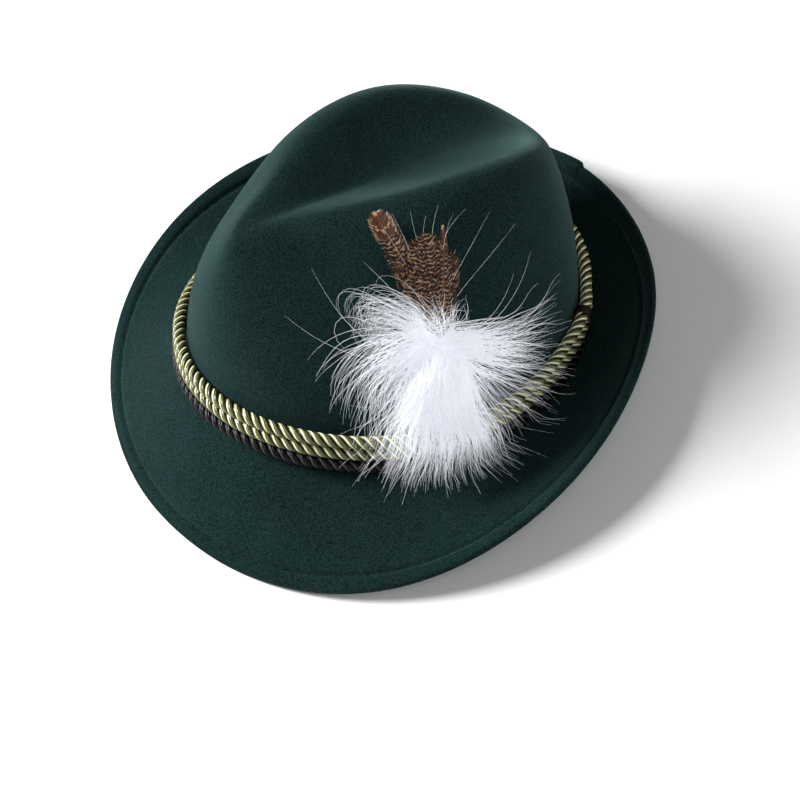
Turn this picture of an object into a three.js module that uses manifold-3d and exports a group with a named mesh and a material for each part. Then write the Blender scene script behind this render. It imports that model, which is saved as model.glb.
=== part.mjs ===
// Tyrolean hat of green felt with three cords, pheasant feathers and a white plume.
// Millimetres, +Z up, front towards -Y, the trim on the +X side. The hat is shaped on its own
// upright axis first and then leans back onto the floor, as a loose hat rests.
import * as THREE from "three";
import { mergeVertices } from "three/addons/utils/BufferGeometryUtils.js";
import Module from "manifold-3d";

const wasm = await Module();
wasm.setup();

// Felt body
const CROWN_LENGTH = 198; // front to back over the felt where crown and brim meet
const CROWN_WIDTH = 173; // side to side at the same place
const CROWN_HEIGHT = 108; // from there up to the highest part of the ridge
const RIDGE_WIDTH = 78; // across the teardrop ridge on top
const DENT_DEPTH = 18; // how far the middle of the top sinks below the ridge
const PINCH_DEPTH = 4; // hollow at each front side of the crown
const BRIM_WIDTH = 62; // widest brim, measured straight from crown to edge
const BREAK_SWAY = 5; // how far the line between crown and brim waves up and down
const FELT = 2;
const HEM_WIDTH = 8;
const HEM_RISE = 0.9; // the turned edge stands this much above the brim
const HEM_FLANK = 0.9; // width over which the turned edge rises from the stitched line
const HEM_ROUND = 1; // width over which the turned edge falls to the brim's edge
const EDGE_RISE = 0.2; // height of the brim's edge itself
const GROOVE_DEPTH = 0.5; // stitched line beside the turned edge
const GROOVE_WIDTH = 0.8; // from the bottom of the stitched line to the plain brim
const REST_FLAT = 1.2; // felt pressed flat where the hat rests on the floor

// Trim
const CORD_DIAMETER = 6.2;
const CORD_GAP = 0.35; // clear space between cords, felt and wrap
const BREAK_ROUNDING = 0.9; // extra room for the lowest cord in the rounded corner
const WRAP_ANGLE = 131; // where the thread wrap sits, degrees round from the front
const WRAP_LENGTH = 5;
const WRAP_EASING = 9; // degrees beside the wrap over which the gold cords ease off the crown
const WRAP_THREAD = 0.9;
const BLADE_THICKNESS = 1.2;
const BLADE_HALF_WIDTH = 7.5;
const BLADE_LIFT = 6.4; // how far the long feather's tip stands off the crown
const PLUME_ANGLE = 76; // where feathers and plume are tied, degrees round from the front
const PLUME_HEIGHT = 50; // height of the tie above the line between crown and brim
const PLUME_DEPTH = 14; // how far the plume's head stands out
const PLUME_REACH = 60; // longest lock from the tie
const LOCK_WIDTH = 9;
const LOCK_THICKNESS = 4;
const BAND_CLEARANCE = 7; // height above the band at which the plume starts to stand off it
const BAND_EASING = 6; // height over which it has come off far enough to clear the cords

// Fineness of the faceted surfaces
const TURN_STEPS = 56;
const CORD_STEPS = 56;
const CORD_SIDES = 8;
const WRAP_STEPS = 8; // round each end of the wrap
const LOCK_STEPS = 5;
const LOCK_SIDES = 6;
const HEAD_SIDES = 12;
const FRAME_STEP = 0.02; // radians and rows to each side, for the felt's directions
const REST_ANGLE_STEPS = 36; // from the front round to the back
const REST_ROWS = [2, 2.1, 2.25, 2.4, 2.6, 2.8, 3];
const REST_LEAN = { least: -0.2, most: 0.6, halvings: 40 }; // radians
const ROW_HALVINGS = 30;
const MERGE_DISTANCE = 1e-4;
const SOFTEN = 0.03; // share of a stretch over which crests and corners are rounded
const DEG = Math.PI / 180;

// Five upright cuts through the hat, from the front round to the back. Lengths are shares of the
// named sizes above: sway of BREAK_SWAY, brim of BRIM_WIDTH, ridgeX of half RIDGE_WIDTH, ridgeY of
// half CROWN_LENGTH, ridgeZ, drop and rise of CROWN_HEIGHT, and seat, the height of the lowest
// cord's middle, of the cord's radius; slope and root are degrees. Shoulder and lean say how far the
// wall bulges below the ridge and how far it leans in above the brim.
const CUTS = [
  { sway: 0.4, brim: 0.96, slope: -52.8, root: -44, ridgeX: 0.4, ridgeY: -0.778, ridgeZ: 0.861,
    shoulder: 0.25, drop: 0.037, rise: 0.4, lean: -0.01, seat: 0.9 },
  { sway: -0.3, brim: 0.953, slope: -33.8, root: -32, ridgeX: 0.6, ridgeY: -0.505, ridgeZ: 0.912,
    shoulder: 0.36, drop: 0.055, rise: 0.43, lean: 0.005, seat: 1 },
  { sway: -1, brim: 0.879, slope: 16.5, root: -4, ridgeX: 1, ridgeY: 0.05, ridgeZ: 1,
    shoulder: 0.42, drop: 0.046, rise: 0.48, lean: 0.03, seat: 1.3 },
  { sway: 0.6, brim: 0.726, slope: 40.2, root: 10, ridgeX: 1.088, ridgeY: 0.646, ridgeZ: 0.9,
    shoulder: 0.3, drop: 0.055, rise: 0.46, lean: 0.02, seat: 1.65 },
  { sway: 1.6, brim: 0.645, slope: 47.5, root: 12, ridgeX: 1.05, ridgeY: 0.889, ridgeZ: 0.765,
    shoulder: 0.25, drop: 0.074, rise: 0.44, lean: 0.01, seat: 1.8 },
];
const DENT_CENTRE = 0.08; // share of half the crown length behind its middle
const DENT_FLANK = 1.6; // above 1 the dent's flanks are steep and its floor is round
const PINCH = { angle: 46, height: 0.72, spread: 17, tall: 0.22 };

// Rows of the felt from the middle of the dent (0) over the ridge (1) and the corner between crown
// and brim (2) to the brim's edge (3)
const DENT_ROWS = [0.24, 0.46, 0.66, 0.82, 0.93, 1];
const WALL_ROWS = [1.06, 1.14, 1.26, 1.4, 1.55, 1.7, 1.85, 1.96, 2];
const BRIM_ROWS = [2.04, 2.1, 2.2, 2.4, 2.6, 2.76];

const BLADE_RADIUS = 0.8; // the crown's radius beside the feathers, as a share of its radius at the foot

// Pheasant feathers: shares of the height between tie and ridge, degrees from the tie, shares of
// BLADE_HALF_WIDTH, and how far they stand off the felt as shares of BLADE_LIFT
const LONG_BLADE = [
  { up: 0.2, turn: -1.5, half: 0.35, off: 0 },
  { up: 0.36, turn: -1.8, half: 0.75, off: 0 },
  { up: 0.52, turn: -2.4, half: 0.9, off: 0 },
  { up: 0.66, turn: -3.6, half: 0.9, off: 0.05 },
  { up: 0.76, turn: -5.2, half: 0.72, off: 0.16 },
  { up: 0.85, turn: -7.1, half: 0.66, off: 0.38 },
  { up: 0.93, turn: -8.8, half: 0.72, off: 0.72 },
  { up: 0.98, turn: -9.9, half: 0.5, off: 1 },
];
const SHORT_BLADE = [
  { up: 0.2, turn: 0.6, half: 0.7, off: 0 },
  { up: 0.36, turn: 0.8, half: 1.6, off: 0 },
  { up: 0.52, turn: 1, half: 1.9, off: 0 },
  { up: 0.61, turn: 1, half: 1.5, off: 0.03 },
  { up: 0.69, turn: 1, half: 1.1, off: 0.07 },
  { up: 0.79, turn: 1.6, half: 0.85, off: 0.2 },
  { up: 0.88, turn: 2, half: 0.4, off: 0.32 },
];

// Head of the white plume: its middle lies HEAD.drop below the tie and it spans HEAD.across by
// HEAD.along either side, all shares of PLUME_REACH. Each row holds shares of that span and of
// PLUME_DEPTH, from the crown outwards.
const HEAD = { drop: 0.18, across: 0.32, along: 0.34 };
const HEAD_ROWS = [
  { span: 0.35, lift: 0 },
  { span: 0.7, lift: 0 },
  { span: 1, lift: 0.3 },
  { span: 0.75, lift: 0.72 },
  { span: 0.4, lift: 0.94 },
];

// Shape that all locks share: the root's share of the length, the outward bulge as a share of
// PLUME_DEPTH, how much of the width the tip has lost and how late it loses it
const LOCK = { root: 0.16, bulge: 0.35, taper: 0.72, late: 1.5 };

// Between two locks less than BETWEEN.widest degrees apart lies a shorter one that stands out more
const BETWEEN = { widest: 40, reach: 0.88, out: 1.2 };

// Locks of the white plume: degrees from straight down, towards the back when positive, then length
// as a share of PLUME_REACH and how far the tip stands out as a share of PLUME_DEPTH
const LOCKS = [
  { turn: 0, reach: 0.8, out: 1.7 },
  { turn: 22, reach: 0.84, out: 1.5 },
  { turn: 44, reach: 0.94, out: 1.2 },
  { turn: 64, reach: 1, out: 0.9 },
  { turn: 84, reach: 0.96, out: 0.7 },
  { turn: 106, reach: 0.7, out: 0.6 },
  { turn: 130, reach: 0.44, out: 0.5 },
  { turn: 214, reach: 0.52, out: 0.5 },
  { turn: 234, reach: 0.74, out: 0.6 },
  { turn: 256, reach: 0.76, out: 0.7 },
  { turn: 278, reach: 0.72, out: 0.8 },
  { turn: 300, reach: 0.7, out: 1.1 },
  { turn: 320, reach: 0.74, out: 1.4 },
  { turn: 340, reach: 0.78, out: 1.6 },
];

const FELT_GREEN = new THREE.MeshStandardMaterial({ color: 0x16352c, roughness: 0.95, metalness: 0 });
const CORD_GOLD = new THREE.MeshStandardMaterial({ color: 0x8c8444, roughness: 0.45, metalness: 0 });
const CORD_BLACK = new THREE.MeshStandardMaterial({ color: 0x15110f, roughness: 0.5, metalness: 0 });
const THREAD_BROWN = new THREE.MeshStandardMaterial({ color: 0x2a1a10, roughness: 0.7, metalness: 0 });
const FEATHER_BROWN = new THREE.MeshStandardMaterial({ color: 0x7a4a2c, roughness: 0.75, metalness: 0 });
const PLUME_WHITE = new THREE.MeshStandardMaterial({ color: 0xf2f3f5, roughness: 0.9, metalness: 0 });

// A column of CUTS at any angle, as the even wave that runs through its five values
function cut(column, angle) {
  const last = CUTS.length - 1;
  let sum = 0;
  for (let wave = 0; wave <= last; wave++) {
    let part = 0;
    for (let i = 0; i <= last; i++) {
      const weight = i === 0 || i === last ? 0.5 : 1;
      part += weight * CUTS[i][column] * Math.cos((Math.PI * wave * i) / last);
    }
    const half = wave === 0 || wave === last ? 0.5 : 1;
    sum += ((2 * half * part) / last) * Math.cos(wave * angle);
  }
  return sum;
}

// Point on the line where crown and brim meet
function breakPoint(angle) {
  return new THREE.Vector3(
    (CROWN_WIDTH / 2) * Math.sin(angle),
    (-CROWN_LENGTH / 2) * Math.cos(angle),
    BREAK_SWAY * cut("sway", angle),
  );
}

// Point on the teardrop ridge round the top
function ridgePoint(angle) {
  return new THREE.Vector3(
    (RIDGE_WIDTH / 2) * cut("ridgeX", angle) * Math.sin(angle),
    (CROWN_LENGTH / 2) * cut("ridgeY", angle),
    CROWN_HEIGHT * cut("ridgeZ", angle),
  );
}

// Top of the crown: share 0 in the middle of the dent, 1 on the ridge
function dentPoint(angle, share) {
  const ridge = ridgePoint(angle);
  const middle = (DENT_CENTRE * CROWN_LENGTH) / 2;
  const fall = (CROWN_HEIGHT - ridge.z) * share ** 2;
  return new THREE.Vector3(
    ridge.x * share,
    middle + (ridge.y - middle) * share,
    CROWN_HEIGHT - fall - DENT_DEPTH * (1 - share ** 2) ** DENT_FLANK,
  );
}

// Side of the crown: share 0 at the brim, 1 on the ridge
function wallPoint(angle, share) {
  const foot = breakPoint(angle);
  const ridge = ridgePoint(angle);
  const low = foot.clone().multiplyScalar(1 - cut("lean", angle));
  low.z = foot.z + CROWN_HEIGHT * cut("rise", angle);
  const high = ridge.clone().lerp(foot, cut("shoulder", angle));
  high.z = ridge.z - CROWN_HEIGHT * cut("drop", angle);
  const point = new THREE.CubicBezierCurve3(foot, low, high, ridge).getPoint(share);
  const side = Math.abs(angle) / DEG - PINCH.angle;
  const hollow = Math.exp(-((side / PINCH.spread) ** 2) - ((share - PINCH.height) / PINCH.tall) ** 2);
  const outward = new THREE.Vector3(point.x, point.y, 0).normalize();
  return point.addScaledVector(outward, -PINCH_DEPTH * hollow);
}

// Brim: share 0 at the crown, 1 at the edge
function brimPoint(angle, share) {
  const width = BRIM_WIDTH * cut("brim", angle);
  const slope = cut("slope", angle) * DEG;
  const root = cut("root", angle) * DEG;
  const bend = share * (1 - share) * width;
  const out = bend * Math.cos(root) + share ** 2 * width * Math.cos(slope);
  const rise = bend * Math.sin(root) + share ** 2 * width * Math.sin(slope);
  const foot = breakPoint(angle);
  return new THREE.Vector3(foot.x + out * Math.sin(angle), foot.y - out * Math.cos(angle), foot.z + rise);
}

function sharpPoint(angle, row) {
  if (row <= 1) return dentPoint(angle, Math.max(row, 0));
  if (row <= 2) return wallPoint(angle, 2 - row);
  return brimPoint(angle, Math.min(row, 3) - 2);
}

// The visible side of the felt with its crests and corners slightly rounded
function feltPoint(angle, row) {
  const before = sharpPoint(angle, row - SOFTEN);
  const after = sharpPoint(angle, row + SOFTEN);
  return sharpPoint(angle, row).multiplyScalar(2).add(before).add(after).multiplyScalar(0.25);
}

// Unit vector out of the visible side of the felt
function feltNormal(angle, row) {
  const round = feltPoint(angle + FRAME_STEP, row).sub(feltPoint(angle - FRAME_STEP, row));
  const along = feltPoint(angle, row + FRAME_STEP).sub(feltPoint(angle, row - FRAME_STEP));
  return along.cross(round).normalize();
}

// Rows of the turned edge: how far in from the edge and how high over the brim
const HEM_ROWS = [
  { inset: HEM_WIDTH + GROOVE_WIDTH, rise: 0 },
  { inset: HEM_WIDTH, rise: -GROOVE_DEPTH },
  { inset: HEM_WIDTH - HEM_FLANK, rise: HEM_RISE },
  { inset: HEM_ROUND, rise: HEM_RISE },
  { inset: 0, rise: EDGE_RISE },
];

function hemRow(angle, inset) {
  return 3 - inset / (BRIM_WIDTH * cut("brim", angle));
}

// Lean of the resting hat: front brim edge and the back of the crown's foot come down together
function restLean() {
  const under = [];
  for (let i = 0; i <= REST_ANGLE_STEPS; i++) {
    for (const row of REST_ROWS) {
      const angle = (i / REST_ANGLE_STEPS) * Math.PI;
      under.push(feltPoint(angle, row).addScaledVector(feltNormal(angle, row), -FELT));
    }
  }
  const height = (point, lean) => point.z * Math.cos(lean) - point.y * Math.sin(lean);
  const lowest = (lean, sign) =>
    Math.min(...under.filter((point) => point.y * sign > 0).map((point) => height(point, lean)));
  let { least, most } = REST_LEAN;
  for (let i = 0; i < REST_LEAN.halvings; i++) {
    const lean = (least + most) / 2;
    if (lowest(lean, -1) < lowest(lean, 1)) least = lean;
    else most = lean;
  }
  return { lean: (least + most) / 2, floor: lowest((least + most) / 2, 1) };
}

const REST = restLean();

// A point of the upright hat at the height where it lies once the hat rests on the floor
function rested(point) {
  const lift = point.z * Math.cos(REST.lean) - point.y * Math.sin(REST.lean);
  const back = point.y * Math.cos(REST.lean) + point.z * Math.sin(REST.lean);
  return new THREE.Vector3(point.x, back, lift - REST.floor - REST_FLAT);
}

// Closed solid from rings of points, each ring closed on itself. Ends are fans to a first and a last
// point, or the rings close on each other when no ends are given.
function ringSolid(rings, first, last) {
  const count = rings[0].length;
  const points = rings.flat();
  const faces = [];
  const stretches = first ? rings.length - 1 : rings.length;
  for (let i = 0; i < stretches; i++) {
    const next = ((i + 1) % rings.length) * count;
    for (let j = 0; j < count; j++) {
      const k = (j + 1) % count;
      faces.push(i * count + j, next + j, next + k, i * count + j, next + k, i * count + k);
    }
  }
  if (first) {
    points.push(first, last);
    const tail = (rings.length - 1) * count;
    for (let j = 0; j < count; j++) {
      const k = (j + 1) % count;
      faces.push(points.length - 2, j, k, points.length - 1, tail + k, tail + j);
    }
  }
  const geometry = new THREE.BufferGeometry();
  const numbers = points.flatMap((point) => point.toArray());
  geometry.setAttribute("position", new THREE.Float32BufferAttribute(numbers, 3));
  geometry.setIndex(faces);
  geometry.computeVertexNormals();
  return geometry;
}

function namedMesh(name, geometry, material) {
  const mesh = new THREE.Mesh(geometry, material);
  mesh.name = name;
  return mesh;
}

// Felt that would reach below the floor is pressed up to it, both faces together
function pressed(upper, lower) {
  const lift = Math.max(0, -lower.z);
  upper.z += lift;
  lower.z += lift;
}

// One turn of points on the visible side and one on the hidden side, FELT apart
function feltTurn(rowAt, rise) {
  const turn = { shown: [], hidden: [] };
  for (let i = 0; i < TURN_STEPS; i++) {
    const angle = (i / TURN_STEPS) * 2 * Math.PI - Math.PI;
    const row = rowAt(angle);
    const normal = feltNormal(angle, row);
    const base = feltPoint(angle, row);
    const upper = rested(base.clone().addScaledVector(normal, rise));
    const lower = rested(base.clone().addScaledVector(normal, -FELT));
    pressed(upper, lower);
    turn.shown.push(upper);
    turn.hidden.push(lower);
  }
  return turn;
}

function feltBody() {
  const turns = [...DENT_ROWS, ...WALL_ROWS, ...BRIM_ROWS].map((row) => feltTurn(() => row, 0));
  for (const { inset, rise } of HEM_ROWS) turns.push(feltTurn((angle) => hemRow(angle, inset), rise));
  const top = feltPoint(0, 0);
  const shown = turns.map((turn) => turn.shown);
  const hidden = turns.map((turn) => turn.hidden).reverse();
  const under = top.clone();
  under.z -= FELT;
  return namedMesh("felt_body", ringSolid([...shown, ...hidden], rested(top), rested(under)), FELT_GREEN);
}

// Row of the crown's side that lies a given height above the corner between crown and brim
function rowAtHeight(angle, height) {
  const foot = breakPoint(angle).z;
  let low = 2;
  let high = 1;
  for (let i = 0; i < ROW_HALVINGS; i++) {
    const row = (low + high) / 2;
    if (feltPoint(angle, row).z - foot < height) low = row;
    else high = row;
  }
  return (low + high) / 2;
}

// Point off the crown's side, with the directions along, up and out of the wall there
function besideWall(angle, height, off) {
  const row = rowAtHeight(angle, height);
  const out = feltNormal(angle, row);
  const before = feltPoint(angle - FRAME_STEP, row);
  const along = feltPoint(angle + FRAME_STEP, row).sub(before).normalize();
  const up = out.clone().cross(along).normalize();
  return { point: feltPoint(angle, row).addScaledVector(out, off), out, along, up };
}

const CORD_RADIUS = CORD_DIAMETER / 2;
const CORD_PITCH = CORD_DIAMETER + CORD_GAP;

// Round cord on the crown: level 0 lies on the brim, 1 and 2 above it. The two upper cords stand
// off and up a little where the thread wrap goes round them.
function cordFrame(level, angle) {
  const near = Math.exp(-(((angle / DEG - WRAP_ANGLE) / WRAP_EASING) ** 4));
  const spread = level > 0 ? (WRAP_THREAD + 2 * CORD_GAP) * near : 0;
  const room = level > 0 ? 0 : BREAK_ROUNDING;
  const frame = besideWall(angle, seatHeight(angle) + CORD_PITCH, CORD_RADIUS + CORD_GAP + room + spread);
  frame.point.addScaledVector(frame.up, (level - 1) * CORD_PITCH + spread);
  return frame;
}

// Height of the lowest cord's middle over the corner between crown and brim
function seatHeight(angle) {
  return CORD_RADIUS * cut("seat", angle);
}

function bandCord(name, level, material) {
  const rings = [];
  for (let i = 0; i < CORD_STEPS; i++) {
    const frame = cordFrame(level, (i / CORD_STEPS) * 2 * Math.PI);
    const ring = [];
    for (let j = 0; j < CORD_SIDES; j++) {
      const turn = ((j + 0.5) / CORD_SIDES) * 2 * Math.PI;
      const point = frame.point.clone().addScaledVector(frame.out, CORD_RADIUS * Math.cos(turn));
      ring.push(rested(point.addScaledVector(frame.up, CORD_RADIUS * Math.sin(turn))));
    }
    rings.push(ring);
  }
  return namedMesh(name, ringSolid(rings), material);
}

// Outline round two cords side by side, a given distance out from their surfaces
function pairOutline(path, half, radius) {
  path.moveTo(radius, -half);
  path.lineTo(radius, half);
  path.absarc(0, half, radius, 0, Math.PI, false);
  path.lineTo(-radius, -half);
  path.absarc(0, -half, radius, Math.PI, 2 * Math.PI, false);
  return path;
}

function cordWrap() {
  const half = CORD_PITCH / 2;
  const inner = CORD_RADIUS + CORD_GAP;
  const outline = pairOutline(new THREE.Shape(), half, inner + WRAP_THREAD);
  outline.holes.push(pairOutline(new THREE.Path(), half, inner));
  const options = { depth: WRAP_LENGTH, bevelEnabled: false, curveSegments: WRAP_STEPS };
  const sleeve = new THREE.ExtrudeGeometry(outline, options);
  const angle = WRAP_ANGLE * DEG;
  const lower = cordFrame(1, angle);
  const upper = cordFrame(2, angle);
  const up = upper.point.clone().sub(lower.point).normalize();
  const out = lower.out.clone().addScaledVector(up, -lower.out.dot(up)).normalize();
  const along = out.clone().cross(up);
  const place = new THREE.Matrix4().makeBasis(out, up, along);
  const middle = lower.point.clone().add(upper.point).multiplyScalar(0.5);
  place.setPosition(middle.addScaledVector(along, -WRAP_LENGTH / 2));
  sleeve.applyMatrix4(place);
  const position = sleeve.attributes.position;
  const point = new THREE.Vector3();
  for (let i = 0; i < position.count; i++) {
    point.fromBufferAttribute(position, i);
    position.setXYZ(i, ...rested(point).toArray());
  }
  return namedMesh("cord_wrap", sleeve, THREAD_BROWN);
}

// Flat curved feather blade that lies along the crown, lifted by a clearance
function blade(name, rows, clearance) {
  const across = [-1, -0.5, 0, 0.5, 1];
  const reach = breakPoint(PLUME_ANGLE * DEG).length() * BLADE_RADIUS;
  const rings = rows.map(({ up, turn, half, off }) => {
    const height = PLUME_HEIGHT + up * (CROWN_HEIGHT - PLUME_HEIGHT);
    const place = (share, layer) => {
      const side = share * half * BLADE_HALF_WIDTH;
      const angle = (PLUME_ANGLE + turn) * DEG + side / reach;
      const lift = clearance + off * BLADE_LIFT + layer * BLADE_THICKNESS;
      return rested(besideWall(angle, height, lift).point);
    };
    const inner = across.map((share) => place(share, 0));
    const outer = across.toReversed().map((share) => place(share, 1));
    return [...inner, ...outer];
  });
  const middle = (ring) => ring[2].clone().add(ring.at(-3)).multiplyScalar(0.5);
  return namedMesh(name, ringSolid(rings, middle(rings[0]), middle(rings.at(-1))), FEATHER_BROWN);
}

const BAND_TOP = seatHeight(PLUME_ANGLE * DEG) + 2 * CORD_PITCH + CORD_RADIUS;
const BAND_DEPTH = CORD_DIAMETER + CORD_GAP + BREAK_ROUNDING;

// How far the plume keeps off the felt at a height, so that it clears the cords
function plumeClearance(height) {
  const over = THREE.MathUtils.smoothstep(BAND_TOP + BAND_CLEARANCE - height, 0, BAND_EASING);
  return CORD_GAP + LOCK_THICKNESS / 2 + over * BAND_DEPTH;
}

// Middle line of one lock, bending out from the crown and down. Below the height of the brim's
// lowest cord it goes on outwards instead.
function lockRoute({ turn, reach, out }) {
  const frames = [];
  for (let i = 0; i <= LOCK_STEPS; i++) {
    const share = i / LOCK_STEPS;
    const length = (LOCK.root + (1 - LOCK.root) * share) * reach * PLUME_REACH;
    const height = PLUME_HEIGHT - length * Math.cos(turn * DEG);
    const held = Math.max(height, CORD_DIAMETER);
    const angle = PLUME_ANGLE * DEG + (length * Math.sin(turn * DEG)) / (CROWN_LENGTH / 2);
    const bulge = PLUME_DEPTH * (LOCK.bulge * Math.sin(Math.PI * share) + out * share ** 2);
    frames.push(besideWall(angle, held, plumeClearance(held) + bulge + held - height));
  }
  return frames;
}

// Tapered lock with a flat section of LOCK_SIDES sides
function lockSolid(row) {
  const frames = lockRoute(row);
  const rings = frames.slice(0, -1).map((frame, i) => {
    const next = frames[i + 1].point;
    const previous = frames[Math.max(i - 1, 0)].point;
    const along = next.clone().sub(previous).normalize();
    const wide = along.clone().cross(frame.out).normalize();
    const thick = wide.clone().cross(along).normalize();
    const taper = 1 - LOCK.taper * (i / LOCK_STEPS) ** LOCK.late;
    return Array.from({ length: LOCK_SIDES }, (_, j) => {
      const a = (j / LOCK_SIDES) * 2 * Math.PI;
      const point = frame.point.clone().addScaledVector(wide, (LOCK_WIDTH / 2) * taper * Math.cos(a));
      return rested(point.addScaledVector(thick, (LOCK_THICKNESS / 2) * taper * Math.sin(a)));
    });
  });
  return ringSolid(rings, rested(frames[0].point), rested(frames.at(-1).point));
}

// Rounded head that all the locks grow from
function plumeHead() {
  const place = (span, lift, turn) => {
    const height = PLUME_HEIGHT - PLUME_REACH * (HEAD.drop + HEAD.along * span * Math.sin(turn));
    const side = PLUME_REACH * HEAD.across * span * Math.cos(turn);
    const off = plumeClearance(height) + lift * PLUME_DEPTH;
    return rested(besideWall(PLUME_ANGLE * DEG + side / (CROWN_LENGTH / 2), height, off).point);
  };
  const rings = HEAD_ROWS.map(({ span, lift }) =>
    Array.from({ length: HEAD_SIDES }, (_, j) => place(span, lift, (j / HEAD_SIDES) * 2 * Math.PI)),
  );
  return ringSolid(rings, place(0, 0, 0), place(0, 1, 0));
}

function toSolid(geometry) {
  const bare = new THREE.BufferGeometry();
  bare.setAttribute("position", geometry.attributes.position);
  bare.setIndex(geometry.index);
  const merged = mergeVertices(bare, MERGE_DISTANCE);
  const vertProperties = merged.attributes.position.array;
  const triVerts = new Uint32Array(merged.index.array);
  return new wasm.Manifold(new wasm.Mesh({ numProp: 3, vertProperties, triVerts }));
}

function toGeometry(solid) {
  const mesh = solid.getMesh();
  const geometry = new THREE.BufferGeometry();
  geometry.setAttribute("position", new THREE.BufferAttribute(mesh.vertProperties, 3));
  geometry.setIndex(new THREE.BufferAttribute(mesh.triVerts, 1));
  geometry.computeVertexNormals();
  return geometry;
}

function whitePlume() {
  let plume = toSolid(plumeHead());
  LOCKS.forEach((lock, i) => {
    const next = LOCKS[(i + 1) % LOCKS.length];
    const step = (next.turn - lock.turn + 360) % 360;
    plume = plume.add(toSolid(lockSolid(lock)));
    if (step > BETWEEN.widest) return;
    const reach = BETWEEN.reach * ((lock.reach + next.reach) / 2);
    const between = { turn: lock.turn + step / 2, reach, out: BETWEEN.out * next.out };
    plume = plume.add(toSolid(lockSolid(between)));
  });
  return namedMesh("white_plume", toGeometry(outerShell(plume)), PLUME_WHITE);
}

// The solid without the small closed hollows that are left between crossing locks
function outerShell(solid) {
  const pieces = solid.decompose();
  return pieces.reduce((largest, piece) => (piece.volume() > largest.volume() ? piece : largest));
}

const hat = new THREE.Group();
hat.add(
  feltBody(),
  bandCord("black_cord", 0, CORD_BLACK),
  bandCord("gold_cord_lower", 1, CORD_GOLD),
  bandCord("gold_cord_upper", 2, CORD_GOLD),
  cordWrap(),
  blade("pheasant_feather_long", LONG_BLADE, CORD_GAP),
  blade("pheasant_feather_short", SHORT_BLADE, 2 * CORD_GAP + BLADE_THICKNESS),
  whitePlume(),
);

// The origin lies on the floor under the middle of the hat
const box = new THREE.Box3().setFromObject(hat);
hat.position.x = -(box.min.x + box.max.x) / 2;
hat.position.y = -(box.min.y + box.max.y) / 2;

export default hat;
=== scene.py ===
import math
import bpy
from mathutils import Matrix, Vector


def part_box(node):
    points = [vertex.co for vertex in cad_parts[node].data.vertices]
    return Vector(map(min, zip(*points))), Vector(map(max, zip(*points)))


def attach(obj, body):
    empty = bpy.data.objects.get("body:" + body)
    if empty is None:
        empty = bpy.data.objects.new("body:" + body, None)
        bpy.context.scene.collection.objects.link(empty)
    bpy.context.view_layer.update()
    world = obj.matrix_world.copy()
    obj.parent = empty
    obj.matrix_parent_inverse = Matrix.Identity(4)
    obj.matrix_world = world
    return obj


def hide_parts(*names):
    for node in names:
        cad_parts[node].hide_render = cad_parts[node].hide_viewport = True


bl_info = {
    "name": "Tyrolean Hat",
    "version": (1, 0, 0),
    "blender": (4, 5, 0),
    "location": "View3D > Sidebar > Hat",
    "description": "Dresses a green felt hat with twisted cords, barred feathers and a white plume",
    "category": "Object",
}

import bmesh
import bpy
import numpy as np
from bpy.props import FloatProperty, FloatVectorProperty, IntProperty, PointerProperty
from mathutils import Matrix, Vector

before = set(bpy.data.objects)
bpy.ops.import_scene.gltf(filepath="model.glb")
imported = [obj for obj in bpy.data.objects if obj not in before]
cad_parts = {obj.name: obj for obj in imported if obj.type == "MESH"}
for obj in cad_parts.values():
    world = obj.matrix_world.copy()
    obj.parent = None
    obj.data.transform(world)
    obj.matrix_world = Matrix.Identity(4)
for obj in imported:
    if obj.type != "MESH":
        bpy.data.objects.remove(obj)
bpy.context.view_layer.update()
FELT_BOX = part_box("felt_body")

# Five upright cuts through the hat, from the front round to the back, as shares of the sizes in
# HatForm: sway of break_sway, brim of brim_width, ridge_x of half ridge_width, ridge_y of half
# crown_length, ridge_z, drop and rise of crown_height, seat of the cord's radius. Slope and root are
# degrees. Shoulder and lean shape the wall below the ridge and above the brim.
CUTS = {
    "sway": (0.4, -0.3, -1, 0.6, 1.6),
    "brim": (0.96, 0.953, 0.879, 0.726, 0.645),
    "slope": (-52.8, -33.8, 16.5, 40.2, 47.5),
    "root": (-44, -32, -4, 10, 12),
    "ridge_x": (0.4, 0.6, 1, 1.088, 1.05),
    "ridge_y": (-0.778, -0.505, 0.05, 0.646, 0.889),
    "ridge_z": (0.861, 0.912, 1, 0.9, 0.765),
    "shoulder": (0.25, 0.36, 0.42, 0.3, 0.25),
    "drop": (0.037, 0.055, 0.046, 0.055, 0.074),
    "rise": (0.4, 0.43, 0.48, 0.46, 0.44),
    "lean": (-0.01, 0.005, 0.03, 0.02, 0.01),
    "seat": (0.9, 1, 1.3, 1.65, 1.8),
}
DENT_CENTRE = 0.08
DENT_FLANK = 1.6
PINCH = {"angle": 46, "height": 0.72, "spread": 17, "tall": 0.22}
# Rounding of the felt in rows: everywhere, and more at the ridge within a reach of it
SOFTEN = 0.015
RIDGE_SOFTEN = 0.11
RIDGE_REACH = 0.32
# The ridge is crispest this many degrees past the front, on the hat's right: its share of the
# rounding there, and how fast the rounding comes back beside it
CRISP_AT = -26
CRISP_SHARE = 0.12
CRISP_REACH = 0.4
# Least and most lean in radians that are tried, and the rows of the underside that may touch the floor
LEANS = (-0.2, 0.6)
REST_ROWS = (2, 2.1, 2.25, 2.4, 2.6, 2.8, 3)
# Step, in radians round or in rows, between the places that a direction is read from
NEAR = 0.02
MM = 0.001


def metres(name, description, default, low, high):
    return FloatProperty(
        name=name, description=description, default=default, min=low, max=high, unit="LENGTH")


def bearing(name, description, degrees):
    return FloatProperty(
        name=name, description=description, default=math.radians(degrees), subtype="ANGLE")


def whole(name, description, default, low, high):
    return IntProperty(name=name, description=description, default=default, min=low, max=high)


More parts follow.
